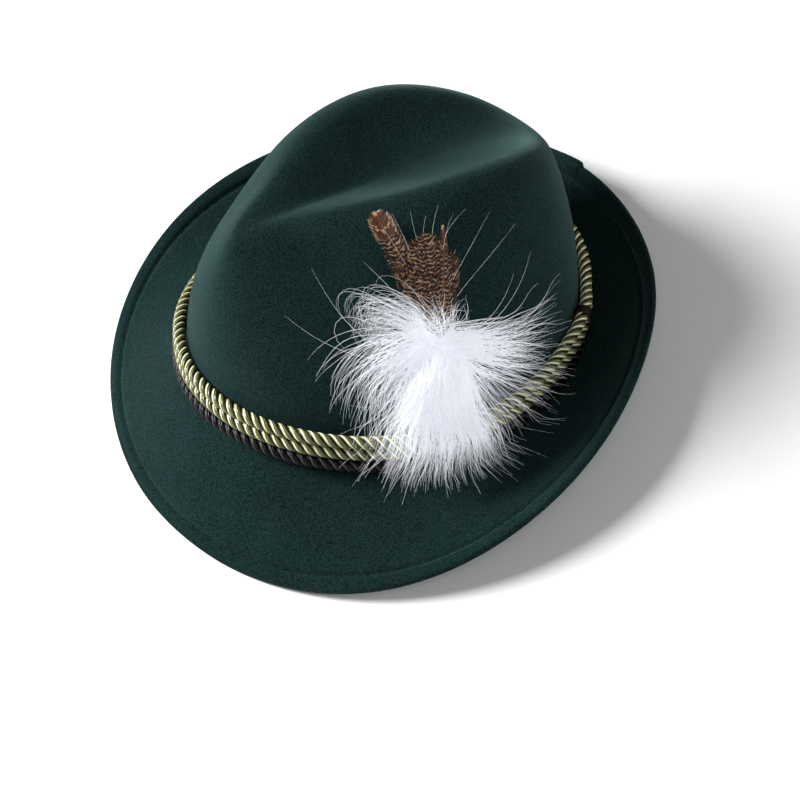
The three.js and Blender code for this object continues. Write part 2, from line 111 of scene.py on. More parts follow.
def tint(name, description, default):
    return FloatVectorProperty(
        name=name, description=description, default=default, size=3, subtype="COLOR", min=0, max=1)


class HatForm(bpy.types.PropertyGroup):
    """Sizes of the felt"""

    crown_length: metres("Crown length", "Front to back where crown and brim meet", 0.198, 0.15, 0.25)
    crown_width: metres("Crown width", "Side to side where crown and brim meet", 0.173, 0.13, 0.22)
    crown_height: metres("Crown height", "From the brim up to the top of the ridge", 0.108, 0.08, 0.14)
    ridge_width: metres("Ridge width", "Across the teardrop ridge on top", 0.078, 0.05, 0.1)
    dent_depth: metres("Dent depth", "How far the top's middle sinks below the ridge", 0.018, 0, 0.03)
    pinch_depth: metres("Pinch depth", "Hollow at each front side of the crown", 0.004, 0, 0.01)
    brim_width: metres("Brim width", "Widest brim, straight from crown to edge", 0.062, 0.04, 0.08)
    break_sway: metres("Break sway", "How far the line between crown and brim waves", 0.005, 0, 0.01)
    felt: metres("Felt", "Thickness of the felt", 0.002, 0.001, 0.004)
    hem_width: metres("Hem width", "Width of the turned edge", 0.008, 0.004, 0.012)
    hem_rise: metres("Hem rise", "How far the turned edge stands above the brim", 0.0009, 0, 0.002)
    groove_depth: metres("Groove depth", "Stitched line beside the turned edge", 0.0008, 0, 0.0015)
    rest_flat: metres("Rest flat", "Felt pressed flat where the hat rests", 0.0012, 0, 0.003)
    turn_steps: whole("Turn steps", "Points round the hat", 320, 64, 480)


class HatBand(bpy.types.PropertyGroup):
    """Sizes of the cords and their wrap"""

    diameter: metres("Cord", "Diameter of each cord", 0.0062, 0.003, 0.009)
    gap: metres("Gap", "Clear space between cords and felt", 0.00035, 0.0001, 0.001)
    rounding: metres("Corner room", "Extra room for the lowest cord in the corner", 0.0009, 0, 0.003)
    lay: metres("Lay", "Length of one full twist", 0.0143, 0.006, 0.03)
    strands: whole("Strands", "Strands in each cord", 3, 3, 6)
    wrap_angle: bearing("Wrap angle", "Place of the thread wrap round from the front", 131)
    wrap_length: metres("Wrap length", "Length of the thread wrap", 0.005, 0.002, 0.01)
    thread: metres("Thread", "Thickness of the wrap's thread", 0.0009, 0.0004, 0.0015)


class HatTrim(bpy.types.PropertyGroup):
    """Sizes of the feathers and the plume"""

    tie_angle: bearing("Tie angle", "Place of the tie round from the front", 76)
    tie_height: metres("Tie height", "Height of the tie above the brim", 0.05, 0.02, 0.08)
    blade_half: metres("Blade half width", "Half width of a barred feather", 0.0075, 0.003, 0.012)
    blade_thickness: metres("Blade thickness", "Depth that a feather takes up", 0.0012, 0.0005, 0.003)
    barb_pitch: metres("Barb pitch", "Distance between barbs along the shaft", 0.00042, 0.0003, 0.001)
    plume_depth: metres("Plume depth", "How far the plume's head stands out", 0.014, 0.005, 0.025)
    strand_width: metres("Strand width", "Thickness of a strand at its root", 0.00032, 0.0001, 0.001)


class HatColours(bpy.types.PropertyGroup):
    """Colours of the hat"""

    felt: tint("Felt", "Bottle green of the felt", (0.0016, 0.0068, 0.0067))
    felt_light: tint("Felt nap", "Paler fibres of the nap", (0.0115, 0.031, 0.0298))
    gold: tint("Gold cord", "Olive gold of the upper cords", (0.2, 0.21, 0.07))
    # Painted highlight: a pale line on the lit side of each gold strand
    gold_thread: tint("Bright thread", "Painted highlight along the lit side of each gold strand", (0.78, 0.8, 0.5))
    black: tint("Dark cord", "Colour of the lowest cord", (0.005, 0.0036, 0.0042))
    # Painted highlight: a paler line on the lit side of each dark strand
    black_thread: tint("Dark cord highlight", "Painted highlight along the lit side of each dark strand", (0.045, 0.04, 0.043))
    thread: tint("Wrap thread", "Dark brown thread", (0.04, 0.018, 0.01))
    feather_pale: tint("Feather ground", "Pale bars of the feathers", (0.48, 0.31, 0.18))
    feather_rust: tint("Feather rust", "Rust parts of the feathers", (0.085, 0.03, 0.014))
    feather_dark: tint("Feather bars", "Dark bars of the feathers", (0.013, 0.006, 0.0045))
    plume: tint("Plume", "White of the plume", (0.95, 0.96, 0.98))
    floor: tint("Floor", "Pale floor", (0.86, 0.86, 0.86))


# Felt surface


def cut(column, angle):
    """A column of CUTS at any angle: the even cosine wave through its five equally spaced values."""
    values = np.array(CUTS[column], dtype=float)
    last = len(values) - 1
    weights = np.ones(last + 1)
    weights[[0, last]] = 0.5
    steps = np.arange(last + 1)
    total = np.zeros_like(angle, dtype=float)
    for wave in range(last + 1):
        part = np.sum(weights * values * np.cos(np.pi * wave * steps / last))
        half = 0.5 if wave in (0, last) else 1.0
        total = total + 2 * half * part / last * np.cos(wave * angle)
    return total


def stack(*values):
    """Vectors from their parts, spread to one shape."""
    return np.stack(np.broadcast_arrays(*values), axis=-1)


def break_point(form, angle):
    """Ellipse of the crown's foot, waved up and down by the sway."""
    return stack(
        form.crown_width / 2 * np.sin(angle),
        -form.crown_length / 2 * np.cos(angle),
        form.break_sway * cut("sway", angle),
    )


def ridge_point(form, angle):
    """Teardrop loop round the top of the crown."""
    return stack(
        form.ridge_width / 2 * cut("ridge_x", angle) * np.sin(angle),
        form.crown_length / 2 * cut("ridge_y", angle),
        form.crown_height * cut("ridge_z", angle),
    )


def dent_point(form, angle, share):
    """Top: the ridge drawn in to the middle, sunk by the depth times (1 - share squared) to a power."""
    ridge = ridge_point(form, angle)
    middle = DENT_CENTRE * form.crown_length / 2
    fall = (form.crown_height - ridge[..., 2]) * share**2
    sunk = form.dent_depth * (1 - share**2) ** DENT_FLANK
    return stack(
        ridge[..., 0] * share,
        middle + (ridge[..., 1] - middle) * share,
        form.crown_height - fall - sunk,
    )


def wall_point(form, angle, share):
    """Wall: a cubic Bezier from foot to ridge, pressed in by a Gaussian pinch at each front side."""
    foot = break_point(form, angle)
    ridge = ridge_point(form, angle)
    low = foot * (1 - cut("lean", angle))[..., None]
    low[..., 2] = foot[..., 2] + form.crown_height * cut("rise", angle)
    high = ridge + (foot - ridge) * cut("shoulder", angle)[..., None]
    high[..., 2] = ridge[..., 2] - form.crown_height * cut("drop", angle)
    t = share[..., None]
    point = (1 - t) ** 3 * foot + 3 * (1 - t) ** 2 * t * low + 3 * (1 - t) * t**2 * high + t**3 * ridge
    side = np.degrees(np.abs(angle)) - PINCH["angle"]
    hollow = np.exp(-((side / PINCH["spread"]) ** 2) - ((share - PINCH["height"]) / PINCH["tall"]) ** 2)
    outward = point[..., :2] / np.linalg.norm(point[..., :2], axis=-1, keepdims=True)
    point[..., :2] -= outward * (form.pinch_depth * hollow)[..., None]
    return point


def brim_point(form, angle, share):
    """Brim: a quadratic Bezier that leaves the crown at the root angle and ends on the slope's chord."""
    width = form.brim_width * cut("brim", angle)
    slope = np.radians(cut("slope", angle))
    root = np.radians(cut("root", angle))
    bend = share * (1 - share) * width
    out = bend * np.cos(root) + share**2 * width * np.cos(slope)
    rise = bend * np.sin(root) + share**2 * width * np.sin(slope)
    foot = break_point(form, angle)
    return foot + stack(out * np.sin(angle), -out * np.cos(angle), rise)


def sharp_point(form, angle, row):
    """The felt's shown side: rows 0 to 1 dent, 1 to 2 wall, 2 to 3 brim."""
    dent = dent_point(form, angle, np.clip(row, 0, 1))
    wall = wall_point(form, angle, 2 - np.clip(row, 1, 2))
    brim = brim_point(form, angle, np.clip(row, 2, 3) - 2)
    return np.where((row <= 1)[..., None], dent, np.where((row <= 2)[..., None], wall, brim))


def felt_point(form, angle, row):
    """The shown side with crests rounded: a bell-weighted mean of seven rows, narrow at CRISP_AT."""
    angle, row = np.broadcast_arrays(np.asarray(angle, float), np.asarray(row, float))
    away = 1 - np.cos(angle - math.radians(CRISP_AT))
    beside = CRISP_SHARE + 1 - np.exp(-((away / CRISP_REACH) ** 2))
    spread = SOFTEN + RIDGE_SOFTEN * beside * np.exp(-(((row - 1) / RIDGE_REACH) ** 2))
    taps = np.linspace(-2, 2, 7)
    weights = np.exp(-(taps**2) / 2)
    weights = weights / weights.sum()
    total = np.zeros((*row.shape, 3))
    for tap, weight in zip(taps, weights):
        total = total + weight * sharp_point(form, angle, row + tap * spread)
    return total


def felt_normal(form, angle, row):
    """Unit vector out of the shown side: the cross product of the two differences."""
    around = felt_point(form, angle + NEAR, row) - felt_point(form, angle - NEAR, row)
    along = felt_point(form, angle, row + NEAR) - felt_point(form, angle, row - NEAR)
    return unit(np.cross(along, around))


def unit(vectors):
    """Each vector by its length."""
    return vectors / np.maximum(np.linalg.norm(vectors, axis=-1, keepdims=True), 1e-12)


def halved(low, high, below, rounds):
    """The two sides, by halving, of the place between low and high where a test stops being true."""
    for _ in range(rounds):
        middle = (low + high) / 2
        under = below(middle)
        low = np.where(under, middle, low)
        high = np.where(under, high, middle)
    return low, high


def rest_lean(form):
    """Lean and floor height at which the front brim edge and the back of the foot come down together."""
    angle, row = np.meshgrid(np.radians(np.arange(0, 181, 5)), np.array(REST_ROWS, float), indexing="ij")
    under = felt_point(form, angle, row) - felt_normal(form, angle, row) * form.felt
    under = under.reshape(-1, 3)
    front = under[under[:, 1] < 0]
    back = under[under[:, 1] > 0]

    def lowest(points, lean):
        return np.min(points[:, 2] * math.cos(lean) - points[:, 1] * math.sin(lean))

    lean = sum(halved(*LEANS, lambda lean: lowest(front, lean) < lowest(back, lean), 40)) / 2
    return lean, lowest(back, lean)


class Resting:
    """Takes points of the upright hat to where they lie once it rests on the floor."""

    def __init__(self, form):
        self.lean, self.floor = rest_lean(form)
        self.flat = form.rest_flat
        self.shift = 0.0
        edge = self(felt_point(form, np.array([0.0, math.pi]), np.array([3.0, 3.0])))
        middle = (FELT_BOX[0][1] + FELT_BOX[1][1]) / 2
        self.shift = middle - (edge[0, 1] + edge[1, 1]) / 2
        rim = self(felt_rim(form))
        self.shift += middle - (rim[:, 1].min() + rim[:, 1].max()) / 2

    def turn(self, vectors):
        """Turn about X by the lean, without moving."""
        y, z = vectors[..., 1], vectors[..., 2]
        return stack(
            vectors[..., 0],
            y * math.cos(self.lean) + z * math.sin(self.lean),
            z * math.cos(self.lean) - y * math.sin(self.lean),
        )

    def __call__(self, points):
        turned = self.turn(np.asarray(points, float))
        return turned + np.array([0.0, self.shift, -self.floor - self.flat])


def felt_rim(form):
    """Edge points at front and back, with the hem's rise, that the box of the hat is measured at."""
    angle = np.array([0.0, 0.0, math.pi, math.pi])
    row = np.full(4, 3.0)
    lift = np.array([0.2 * MM, -form.felt, 0.2 * MM, -form.felt])
    return felt_point(form, angle, row) + felt_normal(form, angle, row) * lift[:, None]


# Meshes


def mesh_object(name, vertices, faces, uv=None):
    """Mesh object from arrays of vertices and faces; the map, a pair per vertex, goes on past 1."""
    mesh = bpy.data.meshes.new(name)
    faces = np.asarray(faces)
    mesh.from_pydata(vertices, [], faces.tolist())
    mesh.update()
    if uv is not None:
        layer = mesh.uv_layers.new(name="surface")
        corners = np.asarray(uv, float)[faces]
        across = corners[..., 1]
        closing = np.ptp(across, axis=1, keepdims=True) > 0.5
        across[closing & (across < 0.5)] += 1
        layer.data.foreach_set("uv", corners.ravel())
    mesh.polygons.foreach_set("use_smooth", np.full(len(mesh.polygons), True))
    piece = bpy.data.objects.new(name, mesh)
    bpy.context.collection.objects.link(piece)
    return piece


def tube_faces(tubes, rings, sides, closed):
    """Quads of many tubes at once: each tube has rings of sides points, closed end to end or open."""
    ring = np.arange(rings if closed else rings - 1)
    side = np.arange(sides)
    r, s = np.meshgrid(ring, side, indexing="ij")
    after = (r + 1) % rings
    beside = (s + 1) % sides
    one = np.stack([r * sides + s, r * sides + beside, after * sides + beside, after * sides + s], -1)
    one = one.reshape(-1, 4)
    start = np.arange(tubes) * rings * sides
    return (one[None, :, :] + start[:, None, None]).reshape(-1, 4)


def sweep(centres, first, second, radius_first, radius_second, sides):
    """Rings of points: centre + r1 cos a first + r2 sin a second, for a round each ring."""
    a = np.arange(sides) / sides * 2 * np.pi
    across = np.cos(a)[:, None] * first[..., None, :] * np.asarray(radius_first)[..., None, None]
    along = np.sin(a)[:, None] * second[..., None, :] * np.asarray(radius_second)[..., None, None]
    return centres[..., None, :] + across + along


def place(piece, material, node):
    """Take a material, ride on the hat and stand for a CAD node, which is hidden."""
    piece.data.materials.append(material)
    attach(piece, "root")
    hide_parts(node)


def faces_out(piece):
    """Recalculate normals so that all faces point out."""
    mesh = bmesh.new()
    mesh.from_mesh(piece.data)
    bmesh.ops.recalc_face_normals(mesh, faces=mesh.faces)
    mesh.to_mesh(piece.data)
    mesh.free()


# Rows of the felt from the dent's middle (0) over ridge (1) and foot (2) to the hem
DENT_ROWS = np.linspace(0.03, 1, 34)[:-1]
WALL_ROWS = np.linspace(1, 2, 66)[:-1]
BRIM_SHARES = np.linspace(0, 1, 30)
# Degrees round to the seam of the turned edge, how much higher and wider it is past the seam, and
# the closer points beside it
SEAM_AT = 183
SEAM_LIFT = 0.8 * MM
SEAM_WIDER = 2.0 * MM
SEAM_BESIDE = (-0.45, -0.15, 0.15, 0.45)
# Degrees over which the overlap fades, and how sharp its step is
SEAM_FADE = 9
SEAM_STEP = 0.15

# Turned edge: millimetres in from the edge for a hem of HEM_DRAWN, share of the hem's rise, share of
# the groove. Then the rounded edge itself: millimetres out and below, share of the seam's lift.
HEM_DRAWN = 8 * MM
HEM = (
    (10.4, 0, 0), (9.8, 0, 0.1), (9.2, 0, 0.35), (8.7, 0, 0.7), (8.2, 0, 0.95), (7.8, 0.02, 1),
    (7.3, 0.15, 0.7), (6.7, 0.4, 0.3), (6.0, 0.68, 0.08), (5.2, 0.88, 0), (4.2, 1, 0), (2.6, 1, 0),
    (1.4, 0.95, 0), (0.7, 0.7, 0), (0.3, 0.35, 0), (0.1, 0, 0),
)
ROUND_EDGE = ((0.25, 0.45, 1), (0.4, 1.0, 0.9), (0.3, 1.6, 0.4), (0.05, 1.95, 0))
STITCHES = 150
HIDDEN_ROWS = np.concatenate([np.linspace(0.08, 2, 46)[:-1], np.linspace(2, 2.98, 20)])


def unevenness(angle, row):
    """Hand-shaped felt: a sum of slow waves round and along the hat, up to about half a millimetre."""
    wave = np.sin(3 * angle + 2.1 * row) + 0.6 * np.sin(5 * angle - 3.3 * row + 1.2)
    wave = wave + 0.4 * np.sin(9 * angle + 4.7 * row + 0.5)
    edge = np.clip(row - 2, 0, 1)
    calm = 1 - 0.8 * np.exp(-(((row - 1.93) / 0.12) ** 2))
    calm = calm * np.clip(row, 0, 1) ** 2
    return 0.22 * MM * wave * calm * (1 + 0.8 * edge)


def seam_step(angle):
    """1 just past the seam of the turned edge, fading to 0 in some degrees, and 0 before it."""
    past = (np.degrees(angle) - SEAM_AT + 180) % 360 - 180
    return np.exp(-((past / SEAM_FADE) ** 2)) / (1 + np.exp(np.clip(-past / SEAM_STEP, -40, 40)))


def felt_rings(form, rest):
    """Rings of the felt from the dent's middle out over the hem and back along the hidden side."""
    angle = np.linspace(-math.pi, math.pi, form.turn_steps, endpoint=False)
    angle = np.sort(np.concatenate([angle, np.radians(SEAM_AT - 360 + np.array(SEAM_BESIDE))]))
    width = form.brim_width * cut("brim", angle)
    hem = np.array(HEM)
    scale = form.hem_width / HEM_DRAWN
    hem_start = 1 - (hem[0, 0] + 1) * MM * scale / width
    brim_rows = 2 + BRIM_SHARES[:, None] * hem_start[None, :]
    a, row = np.meshgrid(angle, np.concatenate([DENT_ROWS, WALL_ROWS]), indexing="xy")
    a = np.concatenate([a, np.broadcast_to(angle, brim_rows.shape)])
    row = np.concatenate([row, brim_rows])
    shown = felt_point(form, a, row) + felt_normal(form, a, row) * unevenness(a, row)[..., None]
    hem_row = 3 - hem[:, :1] * MM * scale / width[None, :]
    a = np.broadcast_to(angle, hem_row.shape)
    stitches = 1 + 0.25 * np.sin(a * STITCHES)
    overlap = seam_step(angle)
    rise = hem[:, 1:2] * (form.hem_rise + SEAM_LIFT * overlap) - hem[:, 2:] * form.groove_depth * stitches
    rise = rise + unevenness(a, hem_row)
    hem_side = felt_point(form, a, hem_row) + felt_normal(form, a, hem_row) * rise[..., None]
    rim_row = np.full_like(angle, 3.0)
    rim = felt_point(form, angle, rim_row)
    outwards = unit(rim - felt_point(form, angle, rim_row - 0.05))
    normal = felt_normal(form, angle, rim_row)
    wider = SEAM_WIDER * overlap
    hem_side = hem_side + outwards * (wider * np.clip(1 - hem[:, :1] / 7, 0, 1))[..., None]
    edge = []
    for out, depth, raised in ROUND_EDGE:
        rise = unevenness(angle, rim_row) - depth * MM + raised * SEAM_LIFT * overlap
        edge.append(rim + normal * rise[:, None] + outwards * (out * MM + wider)[:, None])
    a, row = np.meshgrid(angle, HIDDEN_ROWS[::-1], indexing="xy")
    lift = unevenness(a, row) - form.felt
    hidden = felt_point(form, a, row) + felt_normal(form, a, row) * lift[..., None]
    return rest(np.concatenate([shown, hem_side, np.array(edge), hidden])), len(shown) + len(HEM)


# Where the shown side is less than this many thicknesses above the floor, it is kept one above it
PRESSED_WITHIN = 1.2


def build_felt(context):
    """Closed felt shell; points that would sink below the floor are pressed up onto it."""
    form = context.scene.hat_form
    rest = Resting(form)
    rings, shown_count = felt_rings(form, rest)
    low = rings[..., 2] < form.felt * PRESSED_WITHIN
    hidden = np.arange(len(rings))[:, None] >= shown_count
    rings[..., 2] = np.where(low & ~hidden, np.maximum(rings[..., 2], form.felt), rings[..., 2])
    rings[..., 2] = np.maximum(rings[..., 2], 0)
    count = rings.shape[1]
    middle = felt_point(form, np.zeros(1), np.zeros(1))
    top = rest(middle)
    under = rest(middle - np.array([0, 0, form.felt]))
    vertices = np.concatenate([rings.reshape(-1, 3), top, under])
    quads = tube_faces(1, len(rings), count, False)[:, ::-1]
    piece = mesh_object("felt_shell", vertices, quads)
    close_poles(piece, len(rings), count)
    place(piece, felt_material(context), "felt_body")


def close_poles(piece, rings, count):
    """Fans from the first ring to the last but one vertex, and from the last ring to the last."""
    mesh = bmesh.new()
    mesh.from_mesh(piece.data)
    mesh.verts.ensure_lookup_table()
    top = len(mesh.verts) - 2
    tail = (rings - 1) * count
    for j in range(count):
        k = (j + 1) % count
        for corners in ((top, j, k), (top + 1, tail + k, tail + j)):
            face = mesh.faces.new([mesh.verts[i] for i in corners])
            face.smooth = True
    bmesh.ops.recalc_face_normals(mesh, faces=mesh.faces)
    mesh.to_mesh(piece.data)
    mesh.free()


# Places beside the crown's wall


def row_at_height(form, angle, height):
    """Row of the wall a height above the crown's foot, by halving."""
    foot = break_point(form, angle)[..., 2]
    low, high = halved(
        np.full_like(angle, 2.0), np.full_like(angle, 1.0),
        lambda row: felt_point(form, angle, row)[..., 2] - foot < height, 24)
    return (low + high) / 2


def beside_wall(form, angle, height, off):
    """Point off the wall with the unit directions along, up and out of the wall there."""
    angle, height, off = np.broadcast_arrays(*(np.asarray(v, float) for v in (angle, height, off)))
    row = row_at_height(form, angle, height)
    out = felt_normal(form, angle, row)
    along = unit(felt_point(form, angle + NEAR, row) - felt_point(form, angle - NEAR, row))
    up = unit(np.cross(out, along))
    return felt_point(form, angle, row) + out * off[..., None], out, along, up


# Height share up to which places beside the wall are tabled
WALL_TOP = 0.93


class Wall:
    """Places beside the crown's wall, tabled over angle and height and read between the entries."""

    def __init__(self, form, angles=361, heights=64):
        self.top = WALL_TOP * form.crown_height
        self.counts = angles - 1, heights - 1
        angle, height = np.meshgrid(
            np.linspace(0, 2 * np.pi, angles), np.linspace(0, self.top, heights), indexing="ij")
        self.table = np.concatenate(beside_wall(form, angle, height, 0.0), axis=-1)

    def __call__(self, angle, height, off):
        """Bilinear reading; above the top the place goes straight on up."""
        x = (angle / (2 * np.pi) % 1) * self.counts[0]
        y = np.clip(height / self.top, 0, 1) * self.counts[1]
        i = np.minimum(x.astype(int), self.counts[0] - 1)
        j = np.minimum(y.astype(int), self.counts[1] - 1)
        x = (x - i)[..., None]
        y = (y - j)[..., None]
        low = self.table[i, j] * (1 - x) + self.table[i + 1, j] * x
        high = self.table[i, j + 1] * (1 - x) + self.table[i + 1, j + 1] * x
        read = low * (1 - y) + high * y
        out, up = unit(read[..., 3:6]), unit(read[..., 9:])
        above = np.clip(height - self.top, 0, None)
        return read[..., :3] + out * off[..., None] + up * above[..., None]


# Degrees beside the thread wrap within which the cords stand off for it
WRAP_SPREAD = 9


def cord_frame(context, level, angle):
    """Middle of a round cord on the crown, eased off and up where the thread wrap goes round it."""
    form, band = context.scene.hat_form, context.scene.hat_band
    radius = band.diameter / 2
    pitch = band.diameter + band.gap
    near = np.exp(-((np.degrees(angle - band.wrap_angle) / WRAP_SPREAD) ** 4))
    spread = (band.thread + 2 * band.gap) * near * (level > 0)
    room = band.rounding * (level == 0)
    seat = radius * cut("seat", angle)
    point, out, along, up = beside_wall(form, angle, seat + pitch, radius + band.gap + room + spread)
    point = point + up * ((level - 1) * pitch + spread)[..., None]
    return point, out, along, up


# Twisted cords


def tube_map(along, sides):
    """The map of one tube: the given place along each ring, and the share round it from 0 to 1."""
    u, v = np.meshgrid(along, np.arange(sides) / sides, indexing="ij")
    return np.stack([u, v], -1).reshape(-1, 2)


def cord_strands(context, level, steps_per_turn=15, sides=10):
    """Strands wound round a closed line: centre + a (cos p out + sin p up), p one turn each lay."""
    band = context.scene.hat_band
    radius = band.diameter / 2
    coarse = np.linspace(0, 2 * np.pi, 721)
    line = cord_frame(context, level, coarse)[0]
    length = np.concatenate([[0], np.cumsum(np.linalg.norm(np.diff(line, axis=0), axis=1))])
    turns = round(length[-1] / band.lay)
    steps = turns * steps_per_turn
    share = np.arange(steps) / steps
    angle = np.interp(share * length[-1], length, coarse)
    middle, out, _, up = cord_frame(context, level, angle)
    half_turn = math.sin(math.pi / band.strands)
    strand = radius * half_turn / (1 + half_turn)
    offset = radius - strand
    tubes, coordinates = [], []
    for k in range(band.strands):
        turn = -2 * np.pi * (turns * share + k / band.strands)
        radial = np.cos(turn)[:, None] * out + np.sin(turn)[:, None] * up
        centre = middle + offset * radial
        tangent = unit(np.roll(centre, -1, axis=0) - np.roll(centre, 1, axis=0))
        side = unit(np.cross(tangent, radial))
        thick = np.full(steps, strand)
        tubes.append(sweep(centre, radial, side, thick, thick * 1.12, sides))
        coordinates.append(tube_map(share * length[-1] / MM, sides))
    faces = tube_faces(band.strands, steps, sides, True)
    return np.array(tubes).reshape(-1, 3), faces, np.concatenate(coordinates)


def build_cord(context, name, level, node, material):
    """One round cord of the band, level 0 lowest."""
    rest = Resting(context.scene.hat_form)
    vertices, faces, uv = cord_strands(context, level)
    piece = mesh_object(name, rest(vertices), faces, uv)
    faces_out(piece)
    place(piece, material, node)


def build_wrap(context, sides=7, steps_per_turn=40):
    """Thread wound round the two gold cords: a rounded outline carried along as a coil."""
    band, colours = context.scene.hat_band, context.scene.hat_colours
    rest = Resting(context.scene.hat_form)
    radius = band.diameter / 2
    angle = np.array([band.wrap_angle])
    lower, out, _, _ = cord_frame(context, 1, angle)
    upper = cord_frame(context, 2, angle)[0]
    up = unit(upper - lower)[0]
    out = unit(out[0] - up * np.dot(out[0], up))
    along = np.cross(out, up)
    centre = (lower[0] + upper[0]) / 2
    half = (band.diameter + band.gap) / 2
    turns = round(band.wrap_length / band.thread) + 1
    steps = turns * steps_per_turn
    t = np.arange(steps + 1) / steps
    a = 2 * np.pi * turns * t
    reach = radius + band.gap + band.thread / 2
    flat = np.clip(np.sin(a) * (half + reach) / half, -1, 1) * half
    x = np.cos(a) * reach
    y = flat + np.sin(a) * reach * 0.98
    z = (t - 0.5) * (band.wrap_length - band.thread)
    line = centre + x[:, None] * out + y[:, None] * up + z[:, None] * along
    tangent = unit(np.gradient(line, axis=0))
    side = np.broadcast_to(along, line.shape)
    side = unit(side - tangent * np.sum(side * tangent, axis=-1, keepdims=True))
    other = np.cross(tangent, side)
    thick = np.full(len(line), band.thread * 0.52)
    rings = sweep(line, side, other, thick, thick, sides)
    rings[0] = line[0]
    rings[-1] = line[-1]
    faces = tube_faces(1, len(line), sides, False)
    uv = tube_map(t * turns * 20, sides)
    piece = mesh_object("wound_thread", rest(rings.reshape(-1, 3)), faces, uv)
    faces_out(piece)
    # The second colour, twice the thread's, is a painted highlight along each strand's lit side; the yarn's
    # inside gets painted shade
    yarn = yarn_material("wound_yarn", colours.thread, [c * 2 for c in colours.thread], 0.5, 0.3)
    place(piece, yarn, "cord_wrap")


# Barred feathers. Each row: height share between tie and ridge, degrees from the tie, share of the
# half width, share of BLADE_LIFT (millimetres) off the felt.
BLADE_LIFT = 6.4
TIP_ROUND = 7 * MM
# How far a barb sweeps up for its length, radians it turns through, depth of a barb and of the shaft
BARB_SWEEP = 0.95
BARB_TURN = 1.25
BARB_DEPTH = 0.07 * MM
SHAFT_DEPTH = (0.35 * MM, 0.12 * MM)
SHAFT_SIDES = 6
# One place in the map, far below the tip, that colours the whole shaft
SHAFT_MAP = (-20.0, 0.0)
BLADE_SAMPLES = 400
LONG_BLADE = (
    (0.2, -1.5, 0.35, 0), (0.36, -1.8, 0.75, 0), (0.52, -2.4, 0.9, 0), (0.66, -3.6, 0.9, 0.05),
    (0.76, -5.2, 0.72, 0.16), (0.85, -7.1, 0.66, 0.38), (0.93, -8.8, 0.72, 0.72), (0.98, -9.9, 0.5, 1),
)
SHORT_BLADE = (
    (0.2, 0.6, 0.7, 0), (0.36, 0.8, 1.6, 0), (0.52, 1, 1.9, 0), (0.61, 1, 1.5, 0.03),
    (0.69, 1, 1.1, 0.07), (0.79, 1.6, 0.85, 0.2), (0.88, 2, 0.4, 0.32),
)
SLIVER = ((0.5, 3.2, 0.1, 0.05), (0.62, 4.6, 0.16, 0.1), (0.76, 6.4, 0.2, 0.16), (0.9, 8.2, 0.12, 0.25))


def blade_columns(context, rows, clearance, samples):
    """Heights, angles, half widths and offs along a blade, drawn smoothly through its rows."""
    form, trim = context.scene.hat_form, context.scene.hat_trim
    table = np.array(rows, float)
    knots = np.linspace(0, 1, len(table))
    t = np.linspace(0, 1, samples)
    up, turn, half, off = (smooth_through(knots, table[:, i], t) for i in range(4))
    height = trim.tie_height + up * (form.crown_height - trim.tie_height)
    angle = trim.tie_angle + np.radians(turn)
    off = clearance + np.maximum(off, 0) * BLADE_LIFT * MM
    return height, angle, np.maximum(half, 0) * trim.blade_half, off


def smooth_through(knots, values, t):
    """Cubic Hermite curve through the values, with slopes from their neighbours."""
    slope = np.gradient(values, knots)
    i = np.clip(np.searchsorted(knots, t, side="right") - 1, 0, len(knots) - 2)
    span = knots[i + 1] - knots[i]
    x = (t - knots[i]) / span
    a = values[i] * (1 + 2 * x) * (1 - x) ** 2 + span * slope[i] * x * (1 - x) ** 2
    b = values[i + 1] * x**2 * (3 - 2 * x) + span * slope[i + 1] * x**2 * (x - 1)
    return a + b


def rounded_tip(place_at, reach, length):
    """Barbs cut short so that their ends, swept up, lie on an ellipse round the tip; by halving."""

    def inside(barb):
        ahead = np.clip((place_at + 0.9 * barb - length + TIP_ROUND) / TIP_ROUND, 0, 1)
        return barb < reach * np.sqrt(1 - ahead**2)

    return halved(np.zeros_like(reach), reach, inside, 18)[0] + 0.2 * MM


